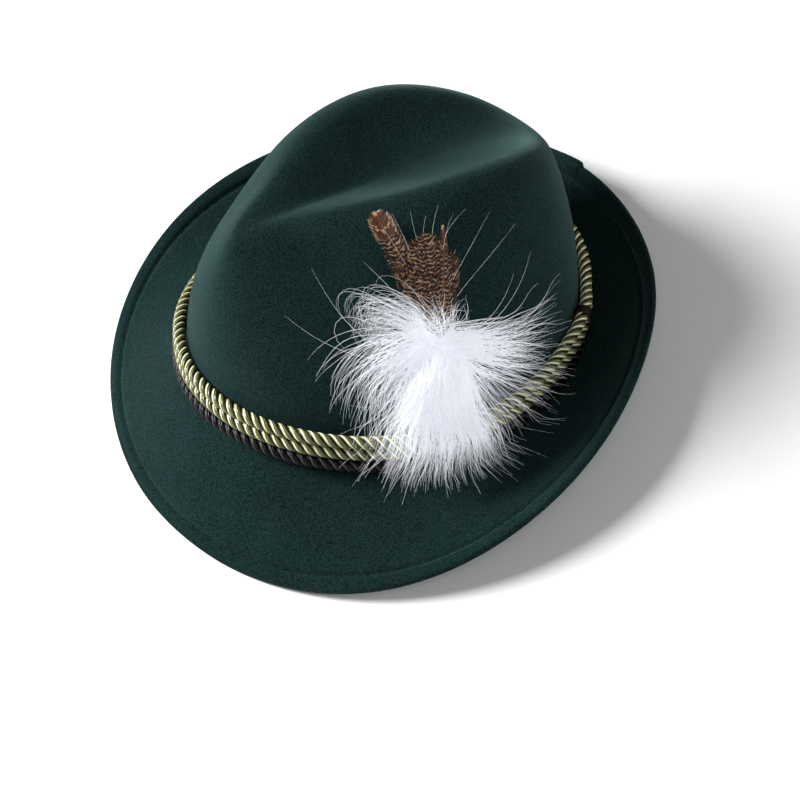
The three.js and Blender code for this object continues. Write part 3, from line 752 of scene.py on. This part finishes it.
def build_blade(context, name, node, rows, clearance, seed, material, share=1.0):
    """Shaft and two rows of barbs: each barb a thin tapered strip that sweeps up and out."""
    form, trim = context.scene.hat_form, context.scene.hat_trim
    random = np.random.default_rng(seed)
    samples = np.arange(BLADE_SAMPLES)
    height, angle, half, off = blade_columns(context, rows, clearance, BLADE_SAMPLES)
    shaft, out, _, _ = beside_wall(form, angle, height, off + trim.blade_thickness * 0.6)
    along = unit(np.gradient(shaft, axis=0))
    side = unit(np.cross(out, along))
    length = np.concatenate([[0], np.cumsum(np.linalg.norm(np.diff(shaft, axis=0), axis=1))])
    end = length[-1] * share
    count = int(end / trim.barb_pitch)
    segments, sides = 9, 4
    place_at = np.repeat(np.linspace(0.01, 0.985, count) * end, 2)
    sign = np.tile([-1.0, 1.0], count)
    place_at = place_at + random.normal(0, 0.1 * MM, len(place_at))
    root = np.interp(place_at, length, samples)
    barbs = len(root)
    reach = np.interp(root, samples, half) * random.normal(1, 0.06, barbs)
    reach = rounded_tip(place_at, reach, end)
    reach = reach * np.where(random.random(barbs) < 0.05, random.uniform(0.72, 0.95, barbs), 1.0)
    t = np.linspace(0, 1, segments + 1)
    sweep_up = (BARB_SWEEP + random.normal(0, 0.05, barbs))[:, None] * t**1.15
    room = np.clip(end - place_at, 0, None) * 0.9 + 0.6 * MM
    forward = np.minimum(reach, room)[:, None] * sweep_up
    sideways = reach[:, None] * np.sin(t * BARB_TURN)[None, :] / math.sin(BARB_TURN) * sign[:, None]
    position = np.clip(place_at[:, None] + forward, 0, length[-1])
    beyond = place_at[:, None] + forward - position
    index = np.interp(position, length, samples)
    base, to_side, ahead, away = (
        np.stack([np.interp(index, samples, table[:, i]) for i in range(3)], -1)
        for table in (shaft, side, along, out))
    curl = -0.075 * sideways**2 / trim.blade_half
    lift = curl + random.normal(0, 0.12 * MM, barbs)[:, None] * t
    centre = base + to_side * sideways[..., None] + ahead * beyond[..., None] + away * lift[..., None]
    tangent = unit(np.gradient(centre, axis=1))
    wide = unit(np.cross(away, tangent))
    thin = unit(np.cross(tangent, wide))
    taper = np.clip(1.02 - t**2.2, 0.1, 1)
    across = np.broadcast_to(trim.barb_pitch * 0.62 * taper, centre.shape[:2])
    rings = sweep(centre, wide, thin, across, np.full(centre.shape[:2], BARB_DEPTH), sides)
    faces = tube_faces(barbs, segments + 1, sides, False)
    ragged = random.normal(0, 0.1 * MM, barbs)[:, None]
    u = (place_at[:, None] + forward * 0.55 + ragged - end) / MM
    v = sideways / trim.blade_half
    uv = np.broadcast_to(np.stack([u, v], -1)[:, :, None, :], (*u.shape, sides, 2)).reshape(-1, 2)
    vertices = rings.reshape(-1, 3)
    thick = np.interp(samples, [0, BLADE_SAMPLES - 1], SHAFT_DEPTH)
    kept = slice(0, int(BLADE_SAMPLES * share * 0.95), 8)
    middle = shaft[kept] + out[kept] * 0.1 * MM
    quill = sweep(middle, side[kept], out[kept], thick[kept], thick[kept] * 0.8, SHAFT_SIDES)
    faces = np.concatenate([faces, tube_faces(1, len(quill), SHAFT_SIDES, False) + len(vertices)])
    vertices = np.concatenate([vertices, quill.reshape(-1, 3)])
    uv = np.concatenate([uv, np.full((len(quill) * SHAFT_SIDES, 2), SHAFT_MAP)])
    piece = mesh_object(name, Resting(form)(vertices), faces, uv)
    faces_out(piece)
    place(piece, material, node)


# White plume in families of strands. Headings are degrees from straight down, towards the back when
# positive. Each row: strands in a tuft, tufts, heading from and to, reach in millimetres from and to,
# curl and its spread in degrees, how late the curl comes, how far the middle and the tip stand out as
# shares of plume_depth, width as a share of strand_width, waviness in degrees, points in a strand.
FAMILIES = {
    "down": (21, 80, -40, 14, 22, 60, 0, 11, 1.4, 0.8, 1.05, 0.95, 5, 11),
    "front": (8, 60, -122, -18, 26, 58, 86, 16, 0.9, 0.5, 0.5, 0.85, 5, 16),
    "back": (7, 54, 8, 84, 34, 74, -18, 14, 1.3, 0.55, 0.55, 0.9, 5, 16),
    "loops": (8, 20, -166, -128, 24, 50, 205, 26, 3.2, 0.35, 0.4, 0.6, 3, 16),
    "crest": (7, 14, 80, 118, 14, 32, -30, 14, 1.4, 0.6, 0.5, 0.75, 5, 16),
    "top": (8, 26, 120, 230, 8, 19, 0, 30, 1.2, 0.75, 0.6, 0.75, 8, 16),
}

# Long single strands by their tips: degrees round from the front, height and distance off the wall in
# millimetres, sag of the middle towards straight down in millimetres, 1 where one lies below a feather
STRAYS = np.array([
    (42.4, 85, 4, 9, 0), (33, 68, 4, 5, 0), (71, 109, 12, 4, 1), (76, 110, 10, 3, 1), (84, 112, 10, 2, 1),
    (87, 107, 10, 4, 1), (90, 107, 12, -3, 1), (95.5, 102, 14, 5, 1), (102, 94, 12, 4, 1),
    (105, 81, 10, 5, 0), (99, 77, 8, 3, 0), (105.5, 56, 10, 3, 0), (117, 33, 8, -4, 0), (112, 30, 10, 3, 0),
    (52, 47, 4, 8, 0), (46, 24, 8, 4, 0), (60, 91, 6, -5, 0), (67, 104, 9, 3, 1), (54, 62, 4, 8, 0),
    (108, 44, 8, -4, 0), (106, 18, 16, 2, 0), (50, 36, 5, 6, 0), (100, 62, 8, -3, 0), (80, 108, 8, -4, 1),
])


# The plume lies this far off the felt, and eases off it from a height above the band over another
PLUME_GAP = 0.4 * MM
OVER_BAND = 7 * MM
OVER_EASE = 6 * MM
# Strand roots: above the tie, out along their heading, and how widely they lie across and up. Degrees
# that strands of a tuft fan out by.
ROOT_ABOVE = 9 * MM
ROOT_OUT = 3 * MM
ROOT_ACROSS = 2.6 * MM
ROOT_UP = 3 * MM
TUFT_FAN = 4
# Cushion of down: half sizes across and up, its middle from the tie, its share of plume_depth
CUSHION = {"across": 9 * MM, "up": 18 * MM, "side": -2 * MM, "height": -13 * MM, "depth": 0.2}


def plume_clearance(context, height):
    """Distance kept off the wall: more over the band than above it, eased between the two."""
    band, trim = context.scene.hat_band, context.scene.hat_trim
    seat = band.diameter / 2 * float(cut("seat", np.array(trim.tie_angle)))
    top = seat + 2 * (band.diameter + band.gap) + band.diameter / 2
    x = np.clip((top + OVER_BAND - height) / OVER_EASE, 0, 1)
    over = x * x * (3 - 2 * x)
    return band.gap + PLUME_GAP + over * (band.diameter + band.gap + band.rounding)


def beside_crown(context, wall, side, height, off):
    """Places by millimetres beside the tie: below the cords they go on outwards over the brim."""
    form, trim = context.scene.hat_form, context.scene.hat_trim
    lowest = context.scene.hat_band.diameter
    beyond = np.clip(lowest - height, 0, None)
    held = np.clip(height, lowest, None)
    angle = trim.tie_angle + side / (form.crown_length / 2) * (1 + 0.35 * held / form.crown_height)
    return wall(angle, held, plume_clearance(context, held) + off + beyond)


def family_lines(context, wall, random, family):
    """Tufts of strands: each heads off from the tie, turns by its curl and stands out in an arch."""
    trim = context.scene.hat_trim
    size, tufts, start, end, short, long, curl, spread, late, middle, tip, width, waves, steps = (
        FAMILIES[family])
    count = size * tufts
    tuft = np.repeat(np.arange(tufts), size)
    heading = np.radians(random.uniform(start, end, tufts)[tuft] + random.normal(0, TUFT_FAN, count))
    reach = (short + (long - short) * random.random(tufts) ** 0.9)[tuft] * random.uniform(0.62, 1.06, count)
    bend = np.radians(random.normal(curl, spread, tufts)[tuft] + random.normal(0, spread / 3, count))
    bend = bend * np.clip(np.abs(heading) / (np.pi / 2), 0, 1)
    stand = (random.uniform(0.35, 1.1, tufts)[tuft] * random.uniform(0.75, 1.2, count))[:, None]
    lift = random.uniform(0.2, 1.05, count)[:, None]
    t = np.linspace(0, 1, steps)[None, :]
    wave = np.radians(random.normal(0, waves, count))[:, None]
    turned = heading[:, None] + bend[:, None] * t**late
    turned = turned + wave * np.sin(2 * np.pi * (1.3 * t + random.random(count)[:, None]))
    step = reach[:, None] * MM / (steps - 1)
    side = np.cumsum(np.sin(turned) * step * (t > 0), axis=1)
    fall = np.cumsum(np.cos(turned) * step * (t > 0), axis=1)
    side = side + (random.normal(0, ROOT_ACROSS, count) + np.sin(heading) * ROOT_OUT)[:, None]
    root = trim.tie_height + ROOT_ABOVE + random.normal(0, ROOT_UP, count) - np.cos(heading) * ROOT_OUT
    arch = np.sin(np.pi * np.clip(t * 1.1, 0, 1)) * lift * middle
    off = trim.plume_depth * (arch + tip * stand * t**2)
    lines = beside_crown(context, wall, side, root[:, None] - fall, off)
    return lines, trim.strand_width * width * random.uniform(0.65, 1.3, count)


def stray_lines(context, wall, steps):
    """Quadratic Bezier from the tie to each tip, its middle lowered by the sag and arched out."""
    trim = context.scene.hat_trim
    t = np.linspace(0, 1, steps)[None, :]
    angle, height, off, sag, under = (STRAYS[:, i][:, None] for i in range(5))
    tie = math.degrees(trim.tie_angle)
    root = trim.tie_height + 7 * MM
    turned = np.radians(tie + (angle - tie) * t ** (1 + 1.6 * under))
    bent = 4 * t * (1 - t)
    held = root + (height * MM - root) * t - sag * MM * bent
    over = plume_clearance(context, held) + off * MM * t**1.5 + 0.35 * trim.plume_depth * bent
    out = np.where(under > 0, 0.15 * MM + off * MM * t**5, over)
    return wall(turned, held, out), np.full(len(STRAYS), trim.strand_width * 0.75)


def hair_tubes(lines, width, sides=3):
    """Tapered tubes along many lines at once."""
    tangent = unit(np.gradient(lines, axis=1))
    first = unit(np.cross(tangent, np.array([0.31, 0.17, 0.93])))
    second = np.cross(tangent, first)
    steps = lines.shape[1]
    taper = 0.14 + 0.86 * (1 - np.linspace(0, 1, steps) ** 1.4)
    radius = width[:, None] / 2 * taper[None, :]
    rings = sweep(lines, first, second, radius, radius, sides)
    faces = tube_faces(lines.shape[0], steps, sides, False)
    u = np.broadcast_to(np.linspace(0, 1, steps)[None, :, None], rings.shape[:3])
    v = np.broadcast_to((np.arange(len(lines)) * 0.618 % 1)[:, None, None], rings.shape[:3])
    return rings.reshape(-1, 3), faces, np.stack([u, v], -1).reshape(-1, 2)


def plume_piece(context, name, bundles, rest, material):
    """One mesh from several bundles of lines and widths."""
    vertices, faces, uv, start = [], [], [], 0
    for lines, width in bundles:
        points, quads, coordinates = hair_tubes(lines, width)
        vertices.append(points)
        faces.append(quads + start)
        uv.append(coordinates)
        start += len(points)
    piece = mesh_object(name, rest(np.concatenate(vertices)), np.concatenate(faces), np.concatenate(uv))
    faces_out(piece)
    place(piece, material, "white_plume")


def down_cushion(context, wall, rest, material, rings=18, spokes=72):
    """Soft closed cushion of down below the strands: a dome over the wall with small lumps."""
    trim = context.scene.hat_trim
    spoke = np.linspace(0, 2 * np.pi, spokes, endpoint=False)
    share = np.concatenate([np.linspace(0.04, 1, rings), np.linspace(1, 0.04, rings)[1:]])
    a, r = np.meshgrid(spoke, share, indexing="xy")
    back = (np.arange(len(share)) >= rings)[:, None]
    lumps = 1 + 0.1 * np.sin(7 * a + 9 * r) + 0.07 * np.sin(13 * a - 14 * r)
    dome = np.sqrt(np.clip(1 - r**2, 0, 1)) * lumps
    side = CUSHION["side"] + CUSHION["across"] * np.sin(a) * r * (1 + 0.06 * np.sin(5 * a))
    height = trim.tie_height + CUSHION["height"] + CUSHION["up"] * np.cos(a) * r
    off = np.where(back, 0.1 * MM, 0.1 * MM + CUSHION["depth"] * trim.plume_depth * dome)
    points = beside_crown(context, wall, side, height, off).reshape(-1, 3)
    top = points[:spokes].mean(axis=0)
    under = points[-spokes:].mean(axis=0)
    points = np.concatenate([points, [top, under]])
    faces = tube_faces(1, len(share), spokes, False)
    u = np.concatenate([r.ravel(), [0, 0]])
    v = np.concatenate([a.ravel() / (2 * np.pi), [0, 0]])
    piece = mesh_object("plume_down", rest(points), faces, np.stack([u, v], -1))
    close_poles(piece, len(share), spokes)
    place(piece, material, "white_plume")


def build_plume(context):
    """Families of strands over a cushion of down, with long single strands."""
    rest = Resting(context.scene.hat_form)
    wall = Wall(context.scene.hat_form)
    random = np.random.default_rng(7)
    material = plume_material(context)
    down_cushion(context, wall, rest, material)
    bundles = {family: family_lines(context, wall, random, family) for family in FAMILIES}
    plume_piece(context, "plume_strands_down", [bundles["down"]], rest, material)
    sides = [bundles[family] for family in FAMILIES if family != "down"]
    plume_piece(context, "plume_strands_sides", sides, rest, material)
    plume_piece(context, "plume_strays", [stray_lines(context, wall, 16)], rest, material)


# Materials


def feed(tree, socket, value):
    """Links another node's output to a socket, or sets a value on it."""
    if isinstance(value, bpy.types.NodeSocket):
        tree.links.new(value, socket)
    else:
        socket.default_value = value


def maths(tree, operation, *values):
    """Math node on numbers and other nodes' outputs."""
    node = tree.nodes.new("ShaderNodeMath")
    node.operation = operation
    for socket, value in zip(node.inputs, values):
        feed(tree, socket, value)
    return node.outputs[0]


def fade(tree, value, start, end):
    """0 where the value is at start, 1 where it is at end, even in between."""
    node = tree.nodes.new("ShaderNodeMapRange")
    feed(tree, node.inputs["Value"], value)
    feed(tree, node.inputs["From Min"], start)
    feed(tree, node.inputs["From Max"], end)
    return node.outputs["Result"]


def blotches(tree, vector, scale, detail=2.0, roughness=0.5):
    """Noise from 0 to 1."""
    node = tree.nodes.new("ShaderNodeTexNoise")
    feed(tree, node.inputs["Vector"], vector)
    feed(tree, node.inputs["Scale"], scale)
    feed(tree, node.inputs["Detail"], detail)
    feed(tree, node.inputs["Roughness"], roughness)
    return node.outputs["Fac"]


def blended(tree, factor, first, second):
    """First colour where the factor is 0, second where it is 1."""
    node = tree.nodes.new("ShaderNodeMix")
    node.data_type = "RGBA"
    feed(tree, node.inputs["Factor"], factor)
    for key, colour in (("A", first), ("B", second)):
        feed(tree, node.inputs[key], colour if isinstance(colour, bpy.types.NodeSocket) else (*colour, 1))
    return node.outputs["Result"]


def bumped(tree, height, distance, strength):
    """Normal tilted by a height, a distance deep."""
    node = tree.nodes.new("ShaderNodeBump")
    feed(tree, node.inputs["Height"], height)
    feed(tree, node.inputs["Distance"], distance)
    feed(tree, node.inputs["Strength"], strength)
    return node.outputs["Normal"]


def own_map(tree):
    """The piece's own map."""
    node = tree.nodes.new("ShaderNodeUVMap")
    node.uv_map = "surface"
    return node.outputs["UV"]


def object_place(tree):
    return tree.nodes.new("ShaderNodeTexCoord").outputs["Object"]


def parts(tree, vector):
    """First and second part of a vector."""
    node = tree.nodes.new("ShaderNodeSeparateXYZ")
    feed(tree, node.inputs["Vector"], vector)
    return node.outputs["X"], node.outputs["Y"]


def new_group(name, inputs, outputs):
    """Node group with its sockets, given by name and kind, and the ends to read from and feed."""
    tree = bpy.data.node_groups.new(name, "ShaderNodeTree")
    for way, sockets in (("INPUT", inputs), ("OUTPUT", outputs)):
        for key, kind in sockets.items():
            tree.interface.new_socket(key, in_out=way, socket_type="NodeSocket" + kind)
    return tree, tree.nodes.new("NodeGroupInput").outputs, tree.nodes.new("NodeGroupOutput").inputs


def use_group(tree, build, values):
    """Outputs of a node group, built at its first use, with values or outputs fed to it."""
    node = tree.nodes.new("ShaderNodeGroup")
    node.node_tree = bpy.data.node_groups.get(build.__name__) or build()
    for key, value in values.items():
        feed(tree, node.inputs[key], value)
    return node.outputs


def new_material(name, values):
    """Material with values on its shader's own sockets, its node tree and the shader's inputs."""
    material = bpy.data.materials.new(name)
    material.use_nodes = True
    inputs = material.node_tree.nodes["Principled BSDF"].inputs
    for key, value in values.items():
        inputs[key].default_value = value
    return material, material.node_tree, inputs


def mottle():
    """Two colours mixed by noise at two sizes, and a height for a bump."""
    tree, given, out = new_group(
        "mottle",
        {"Vector": "Vector", "Dark": "Color", "Light": "Color", "Fine": "Float", "Coarse": "Float"},
        {"Color": "Color", "Height": "Float"})
    fine = blotches(tree, given["Vector"], given["Fine"], 3, 0.7)
    coarse = blotches(tree, given["Vector"], given["Coarse"])
    height = maths(tree, "MULTIPLY_ADD", fine, 0.92, maths(tree, "MULTIPLY", coarse, 0.08))
    feed(tree, out["Color"], blended(tree, fade(tree, height, 0.39, 0.63), given["Dark"], given["Light"]))
    feed(tree, out["Height"], height)
    return tree


def felt_material(context):
    """Bottle green felt: fine nap in colour and bump, with a soft sheen at grazing angles."""
    colours = context.scene.hat_colours
    material, tree, shader = new_material("green_wool_felt", {
        "Roughness": 0.95, "Specular IOR Level": 0.04,
        "Sheen Weight": 0.22, "Sheen Roughness": 0.34, "Sheen Tint": (0.5, 0.9, 0.83, 1),
    })
    nap = use_group(tree, mottle, {
        "Vector": object_place(tree), "Dark": (*colours.felt, 1), "Light": (*colours.felt_light, 1),
        "Fine": 1300, "Coarse": 60,
    })
    feed(tree, shader["Base Color"], nap["Color"])
    feed(tree, shader["Normal"], bumped(tree, nap["Height"], 0.0006, 0.5))
    return material


def threaded_strand():
    """Strand of fine threads from the strand's own map: along in millimetres and round from 0 to 1.

    Cosines round the strand give a mask of painted shade, dark towards the cord's inside where strands
    meet, and a narrow one for a painted highlight on the side of each strand that the light comes from.
    A sine of the place round, turned on slowly along the strand, draws the threads, with painted shade in
    the lines between them.
    """
    tree, given, out = new_group(
        "threaded_strand", {"Vector": "Vector", "Threads": "Float"},
        {"ClearOfPaintedShade": "Float", "Bright": "Float", "Thread": "Float"})
    along, share = parts(tree, given["Vector"])
    turn = maths(tree, "MULTIPLY", share, 2 * math.pi)
    # Painted shade: 0 towards the cord's inside, where strands meet and shade falls, 1 on the outside
    shown = fade(tree, maths(tree, "COSINE", turn), 0.3, 0.85)
    round_on = maths(tree, "MULTIPLY", turn, given["Threads"])
    thread = maths(tree, "SINE", maths(tree, "MULTIPLY_ADD", along, 1.1, round_on))
    beside = maths(tree, "COSINE", maths(tree, "SUBTRACT", turn, 0.55))
    # Painted shade in the lines between the fine threads
    shade = maths(tree, "MULTIPLY_ADD", thread, 0.3, 0.7)
    feed(tree, out["ClearOfPaintedShade"], maths(tree, "MULTIPLY", shown, shade))
    # Painted highlight: a narrow band turned 0.55 radians round each strand, on the side the light comes
    # from
    feed(tree, out["Bright"], fade(tree, beside, 0.93, 0.98))
    feed(tree, out["Thread"], thread)
    return tree


def yarn_material(name, colour, painted_highlight, roughness, shine):
    """Shiny twisted yarn: fine threads along each strand, with painted shade near black where strands meet
    and a painted highlight along each strand's lit side.
    """
    material, tree, shader = new_material(name, {"Roughness": roughness, "Specular IOR Level": shine})
    yarn = use_group(tree, threaded_strand, {"Vector": own_map(tree), "Threads": 9})
    # Painted shade: the yarn's colour fades to near black towards the cord's inside and between threads
    body = blended(tree, yarn["ClearOfPaintedShade"], [c * 0.03 for c in colour], colour)
    # Painted highlight: a narrow pale line along each strand's lit side
    feed(tree, shader["Base Color"], blended(tree, yarn["Bright"], body, painted_highlight))
    feed(tree, shader["Normal"], bumped(tree, yarn["Thread"], 0.0001, 0.8))
    return material


def zigzag_bars():
    """Zigzag bars from the blade's own map: along in millimetres and across from -1 to 1.

    A sine of the place along, shifted by noise and by a zigzag across, gives the bars' mask.
    """
    tree, given, out = new_group(
        "zigzag_bars", {"Vector": "Vector", "Pitch": "Float", "Uneven": "Float"}, {"Mask": "Float"})
    along, across = parts(tree, given["Vector"])
    uneven = blotches(tree, in_millimetres(tree, given["Vector"]), 0.38, 2)
    shifted = maths(tree, "MULTIPLY_ADD", uneven, given["Uneven"], along)
    bent = maths(tree, "MULTIPLY_ADD", maths(tree, "PINGPONG", across, 0.3), 3.2, shifted)
    turn = maths(tree, "MULTIPLY", maths(tree, "DIVIDE", bent, given["Pitch"]), 2 * math.pi)
    feed(tree, out["Mask"], fade(tree, maths(tree, "SINE", turn), 0.15, 0.8))
    return tree


def in_millimetres(tree, vector):
    """The blade's map with its place across in millimetres as well."""
    node = tree.nodes.new("ShaderNodeVectorMath")
    node.operation = "MULTIPLY"
    feed(tree, node.inputs[0], vector)
    feed(tree, node.inputs[1], (1, 7.5, 1))
    return node.outputs[0]


def feather_material(context, name, pitch, brown_from, brown_to):
    """Dark bars on a tan and rust ground; between two places along, brown with a pale rim and line."""
    colours = context.scene.hat_colours
    material, tree, shader = new_material(name, {"Roughness": 0.5, "Specular IOR Level": 0.3})
    vector = own_map(tree)
    along, across = parts(tree, vector)
    bars = use_group(tree, zigzag_bars, {"Vector": vector, "Pitch": pitch, "Uneven": 3.4})
    patches = fade(tree, blotches(tree, in_millimetres(tree, vector), 0.45), 0.42, 0.6)
    ground = blended(tree, patches, colours.feather_pale, [c * 2.2 for c in colours.feather_rust])
    barred = blended(tree, bars["Mask"], colours.feather_dark, ground)
    uneven = maths(tree, "SUBTRACT", blotches(tree, in_millimetres(tree, vector), 0.6), 0.5)
    from_shaft = maths(tree, "ABSOLUTE", across)
    rim = fade(tree, maths(tree, "MULTIPLY_ADD", uneven, 0.7, from_shaft), 0.48, 0.58)
    top = fade(tree, maths(tree, "MULTIPLY_ADD", uneven, 8, along), -2, -1.2)
    level = maths(tree, "MULTIPLY_ADD", uneven, 7, maths(tree, "MULTIPLY_ADD", from_shaft, -4, along))
    line = fade(tree, maths(tree, "ABSOLUTE", maths(tree, "ADD", level, 9.5)), 0.7, 0.35)
    pale = maths(tree, "MAXIMUM", maths(tree, "MAXIMUM", rim, top), line)
    brown = blended(tree, pale, colours.feather_rust, [c * 1.15 for c in colours.feather_pale])
    tip = fade(tree, along, brown_from, brown_to)
    feed(tree, shader["Base Color"], blended(tree, tip, barred, brown))
    return material


def plume_material(context):
    """White strands, a little uneven from one to the next, with a faint painted glow among them that stands
    in for light scattered through the plume.
    """
    colours = context.scene.hat_colours
    material, tree, shader = new_material("white_plume_strand", {
        "Roughness": 0.5, "Specular IOR Level": 0.4,
        # Emission is a painted glow on the strands, which are no lamp, standing in for light scattered
        # among them
        "Emission Color": (0.86, 0.9, 1, 1), "Emission Strength": 0.28,
    })
    uneven = fade(tree, blotches(tree, own_map(tree), 30), 0.34, 0.6)
    grey = [c * 0.62 for c in colours.plume]
    feed(tree, shader["Base Color"], blended(tree, uneven, grey, colours.plume))
    return material


def floor_material(context):
    """Plain pale floor with a barely uneven tone."""
    colours = context.scene.hat_colours
    material, tree, shader = new_material("pale_floor", {"Roughness": 0.8})
    tone = use_group(tree, mottle, {
        "Vector": object_place(tree), "Dark": (*[c * 0.985 for c in colours.floor], 1),
        "Light": (*colours.floor, 1), "Fine": 40, "Coarse": 3,
    })
    feed(tree, shader["Base Color"], tone["Color"])
    return material


# Stage. The camera's place is given in the upright hat's own directions and then leaned with it.
CAMERA = {
    "azimuth": math.radians(55.73),
    "elevation": math.radians(42.12),
    "roll": math.radians(-1.11),
    "distance": 0.8,
    "pixels": 1631.0,
    "foot_pixel": (385.0, 325.5),
    "image": 800,
}
# Lights: shares of the camera's right, up and back in their direction, distance, size and power
LIGHTS = {
    "key": (-0.88, 0.38, 0.3, 1.5, 0.7, 47),
    "fill": (0.1, 0, 0.9, 1.8, 1.2, 7),
    "edge": (0.95, 0.02, 0.34, 1.5, 0.8, 12),
}
LIT = np.array([0, 0, 0.05])
SKY = 0.12
FLOOR_HALF = 3.0
SENSOR = 36


def camera_axes():
    """Right, up and back of the camera in the upright hat's directions."""
    az, el, roll = CAMERA["azimuth"], CAMERA["elevation"], CAMERA["roll"]
    back = np.array([math.sin(az) * math.cos(el), -math.cos(az) * math.cos(el), math.sin(el)])
    right = np.array([math.cos(az), math.sin(az), 0.0])
    up = np.cross(back, right)
    c, s = math.cos(roll), math.sin(roll)
    return c * right + s * up, -s * right + c * up, back


def build_stage(context):
    """Camera at the photograph's angle, soft light from its upper left and a pale floor."""
    rest = Resting(context.scene.hat_form)
    right, up, back = camera_axes()
    eye = rest(back * CAMERA["distance"])
    scale = CAMERA["distance"] / CAMERA["pixels"]
    middle = CAMERA["image"] / 2
    foot_x, foot_y = CAMERA["foot_pixel"]
    aim = rest(right * (middle - foot_x) * scale - up * (middle - foot_y) * scale)
    view = unit(eye - aim)
    top = rest.turn(up)
    side = unit(np.cross(top, view))
    top = np.cross(view, side)
    data = bpy.data.cameras.new("camera")
    data.sensor_fit = "HORIZONTAL"
    data.sensor_width = SENSOR
    data.lens = SENSOR * CAMERA["pixels"] / CAMERA["image"]
    data.clip_start = 0.01
    camera = bpy.data.objects.new("camera", data)
    camera.matrix_world = Matrix([*stack(side, top, view, eye), (0, 0, 0, 1)])
    bpy.context.collection.objects.link(camera)
    context.scene.camera = camera
    corners = FLOOR_HALF * np.array([(-1, -1, 0), (1, -1, 0), (1, 1, 0), (-1, 1, 0)])
    floor = mesh_object("pale_floor", corners, [(0, 1, 2, 3)])
    floor.data.materials.append(floor_material(context))
    for name, (right_share, up_share, back_share, distance, size, power) in LIGHTS.items():
        area_light(name, right_share * side + up_share * top + back_share * view, distance, size, power)
    context.scene.view_settings.view_transform = "Standard"
    world = bpy.data.worlds.new("studio") if context.scene.world is None else context.scene.world
    context.scene.world = world
    world.use_nodes = True
    background = world.node_tree.nodes["Background"]
    background.inputs["Color"].default_value = (1, 1, 1, 1)
    background.inputs["Strength"].default_value = SKY


def area_light(name, direction, distance, size, power):
    """Round soft light that looks at the middle of the hat from a direction."""
    data = bpy.data.lights.new(name, "AREA")
    data.shape = "DISK"
    data.size = size
    data.energy = power
    light = bpy.data.objects.new(name, data)
    light.location = LIT + unit(direction) * distance
    light.rotation_euler = Vector(unit(direction)).to_track_quat("Z", "Y").to_euler()
    bpy.context.collection.objects.link(light)


class HAT_OT_stage(bpy.types.Operator):
    """Camera, light and floor"""

    bl_idname = "hat.stage"
    bl_label = "Stage"

    def execute(self, context):
        build_stage(context)
        return {"FINISHED"}


class HAT_OT_felt(bpy.types.Operator):
    """Crown, brim and turned edge"""

    bl_idname = "hat.felt"
    bl_label = "Felt"

    def execute(self, context):
        build_felt(context)
        return {"FINISHED"}


class HAT_OT_cords(bpy.types.Operator):
    """Two gold cords and a dark one round the crown"""

    bl_idname = "hat.cords"
    bl_label = "Cords"

    def execute(self, context):
        colours = context.scene.hat_colours
        # Each yarn's second colour is a painted highlight on the lit side of its strands
        gold = yarn_material("gold_yarn", colours.gold, colours.gold_thread, 0.32, 0.5)
        dark = yarn_material("dark_yarn", colours.black, colours.black_thread, 0.4, 0.2)
        build_cord(context, "twisted_cord_black", 0, "black_cord", dark)
        build_cord(context, "twisted_cord_lower", 1, "gold_cord_lower", gold)
        build_cord(context, "twisted_cord_upper", 2, "gold_cord_upper", gold)
        return {"FINISHED"}


class HAT_OT_wrap(bpy.types.Operator):
    """Thread wound round the gold cords"""

    bl_idname = "hat.wrap"
    bl_label = "Thread wrap"

    def execute(self, context):
        build_wrap(context)
        return {"FINISHED"}


class HAT_OT_feathers(bpy.types.Operator):
    """Two barred feathers"""

    bl_idname = "hat.feathers"
    bl_label = "Barred feathers"

    def execute(self, context):
        band, trim = context.scene.hat_band, context.scene.hat_trim
        over = 2 * band.gap + trim.blade_thickness
        tipped = feather_material(context, "brown_tipped_vane", 1.9, -14, -12)
        barred = feather_material(context, "barred_vane", 1.8, 90, 99)
        build_blade(
            context, "barred_feather_long", "pheasant_feather_long", LONG_BLADE, band.gap, 11, tipped, 0.93)
        build_blade(
            context, "barred_feather_short", "pheasant_feather_short", SHORT_BLADE, over, 12, barred)
        build_blade(context, "barred_sliver", "pheasant_feather_short", SLIVER, over, 13, tipped)
        return {"FINISHED"}


class HAT_OT_plume(bpy.types.Operator):
    """White plume over the feathers' roots"""

    bl_idname = "hat.plume"
    bl_label = "Plume"

    def execute(self, context):
        build_plume(context)
        return {"FINISHED"}


class HAT_PT_panel(bpy.types.Panel):
    """Lists the hat's pieces"""

    bl_label = "Tyrolean Hat"
    bl_idname = "HAT_PT_panel"
    bl_space_type = "VIEW_3D"
    bl_region_type = "UI"
    bl_category = "Hat"

    def draw(self, context):
        for operator in OPERATORS:
            self.layout.operator(operator.bl_idname)
        for group in ("hat_form", "hat_band", "hat_trim", "hat_colours"):
            values = getattr(context.scene, group)
            box = self.layout.box()
            for key in values.__annotations__:
                box.prop(values, key)


OPERATORS = (HAT_OT_stage, HAT_OT_felt, HAT_OT_cords, HAT_OT_wrap, HAT_OT_feathers, HAT_OT_plume)
GROUPS = {"hat_form": HatForm, "hat_band": HatBand, "hat_trim": HatTrim, "hat_colours": HatColours}


def register():
    for cls in (*GROUPS.values(), *OPERATORS, HAT_PT_panel):
        bpy.utils.register_class(cls)
    for key, cls in GROUPS.items():
        setattr(bpy.types.Scene, key, PointerProperty(type=cls))


def unregister():
    for key in GROUPS:
        delattr(bpy.types.Scene, key)
    for cls in reversed((*GROUPS.values(), *OPERATORS, HAT_PT_panel)):
        bpy.utils.unregister_class(cls)


def main():
    """Makes every piece."""
    register()
    bpy.ops.hat.stage()
    bpy.ops.hat.felt()
    bpy.ops.hat.cords()
    bpy.ops.hat.wrap()
    bpy.ops.hat.feathers()
    bpy.ops.hat.plume()
    bpy.context.view_layer.update()


if __name__ == "__main__":
    main()
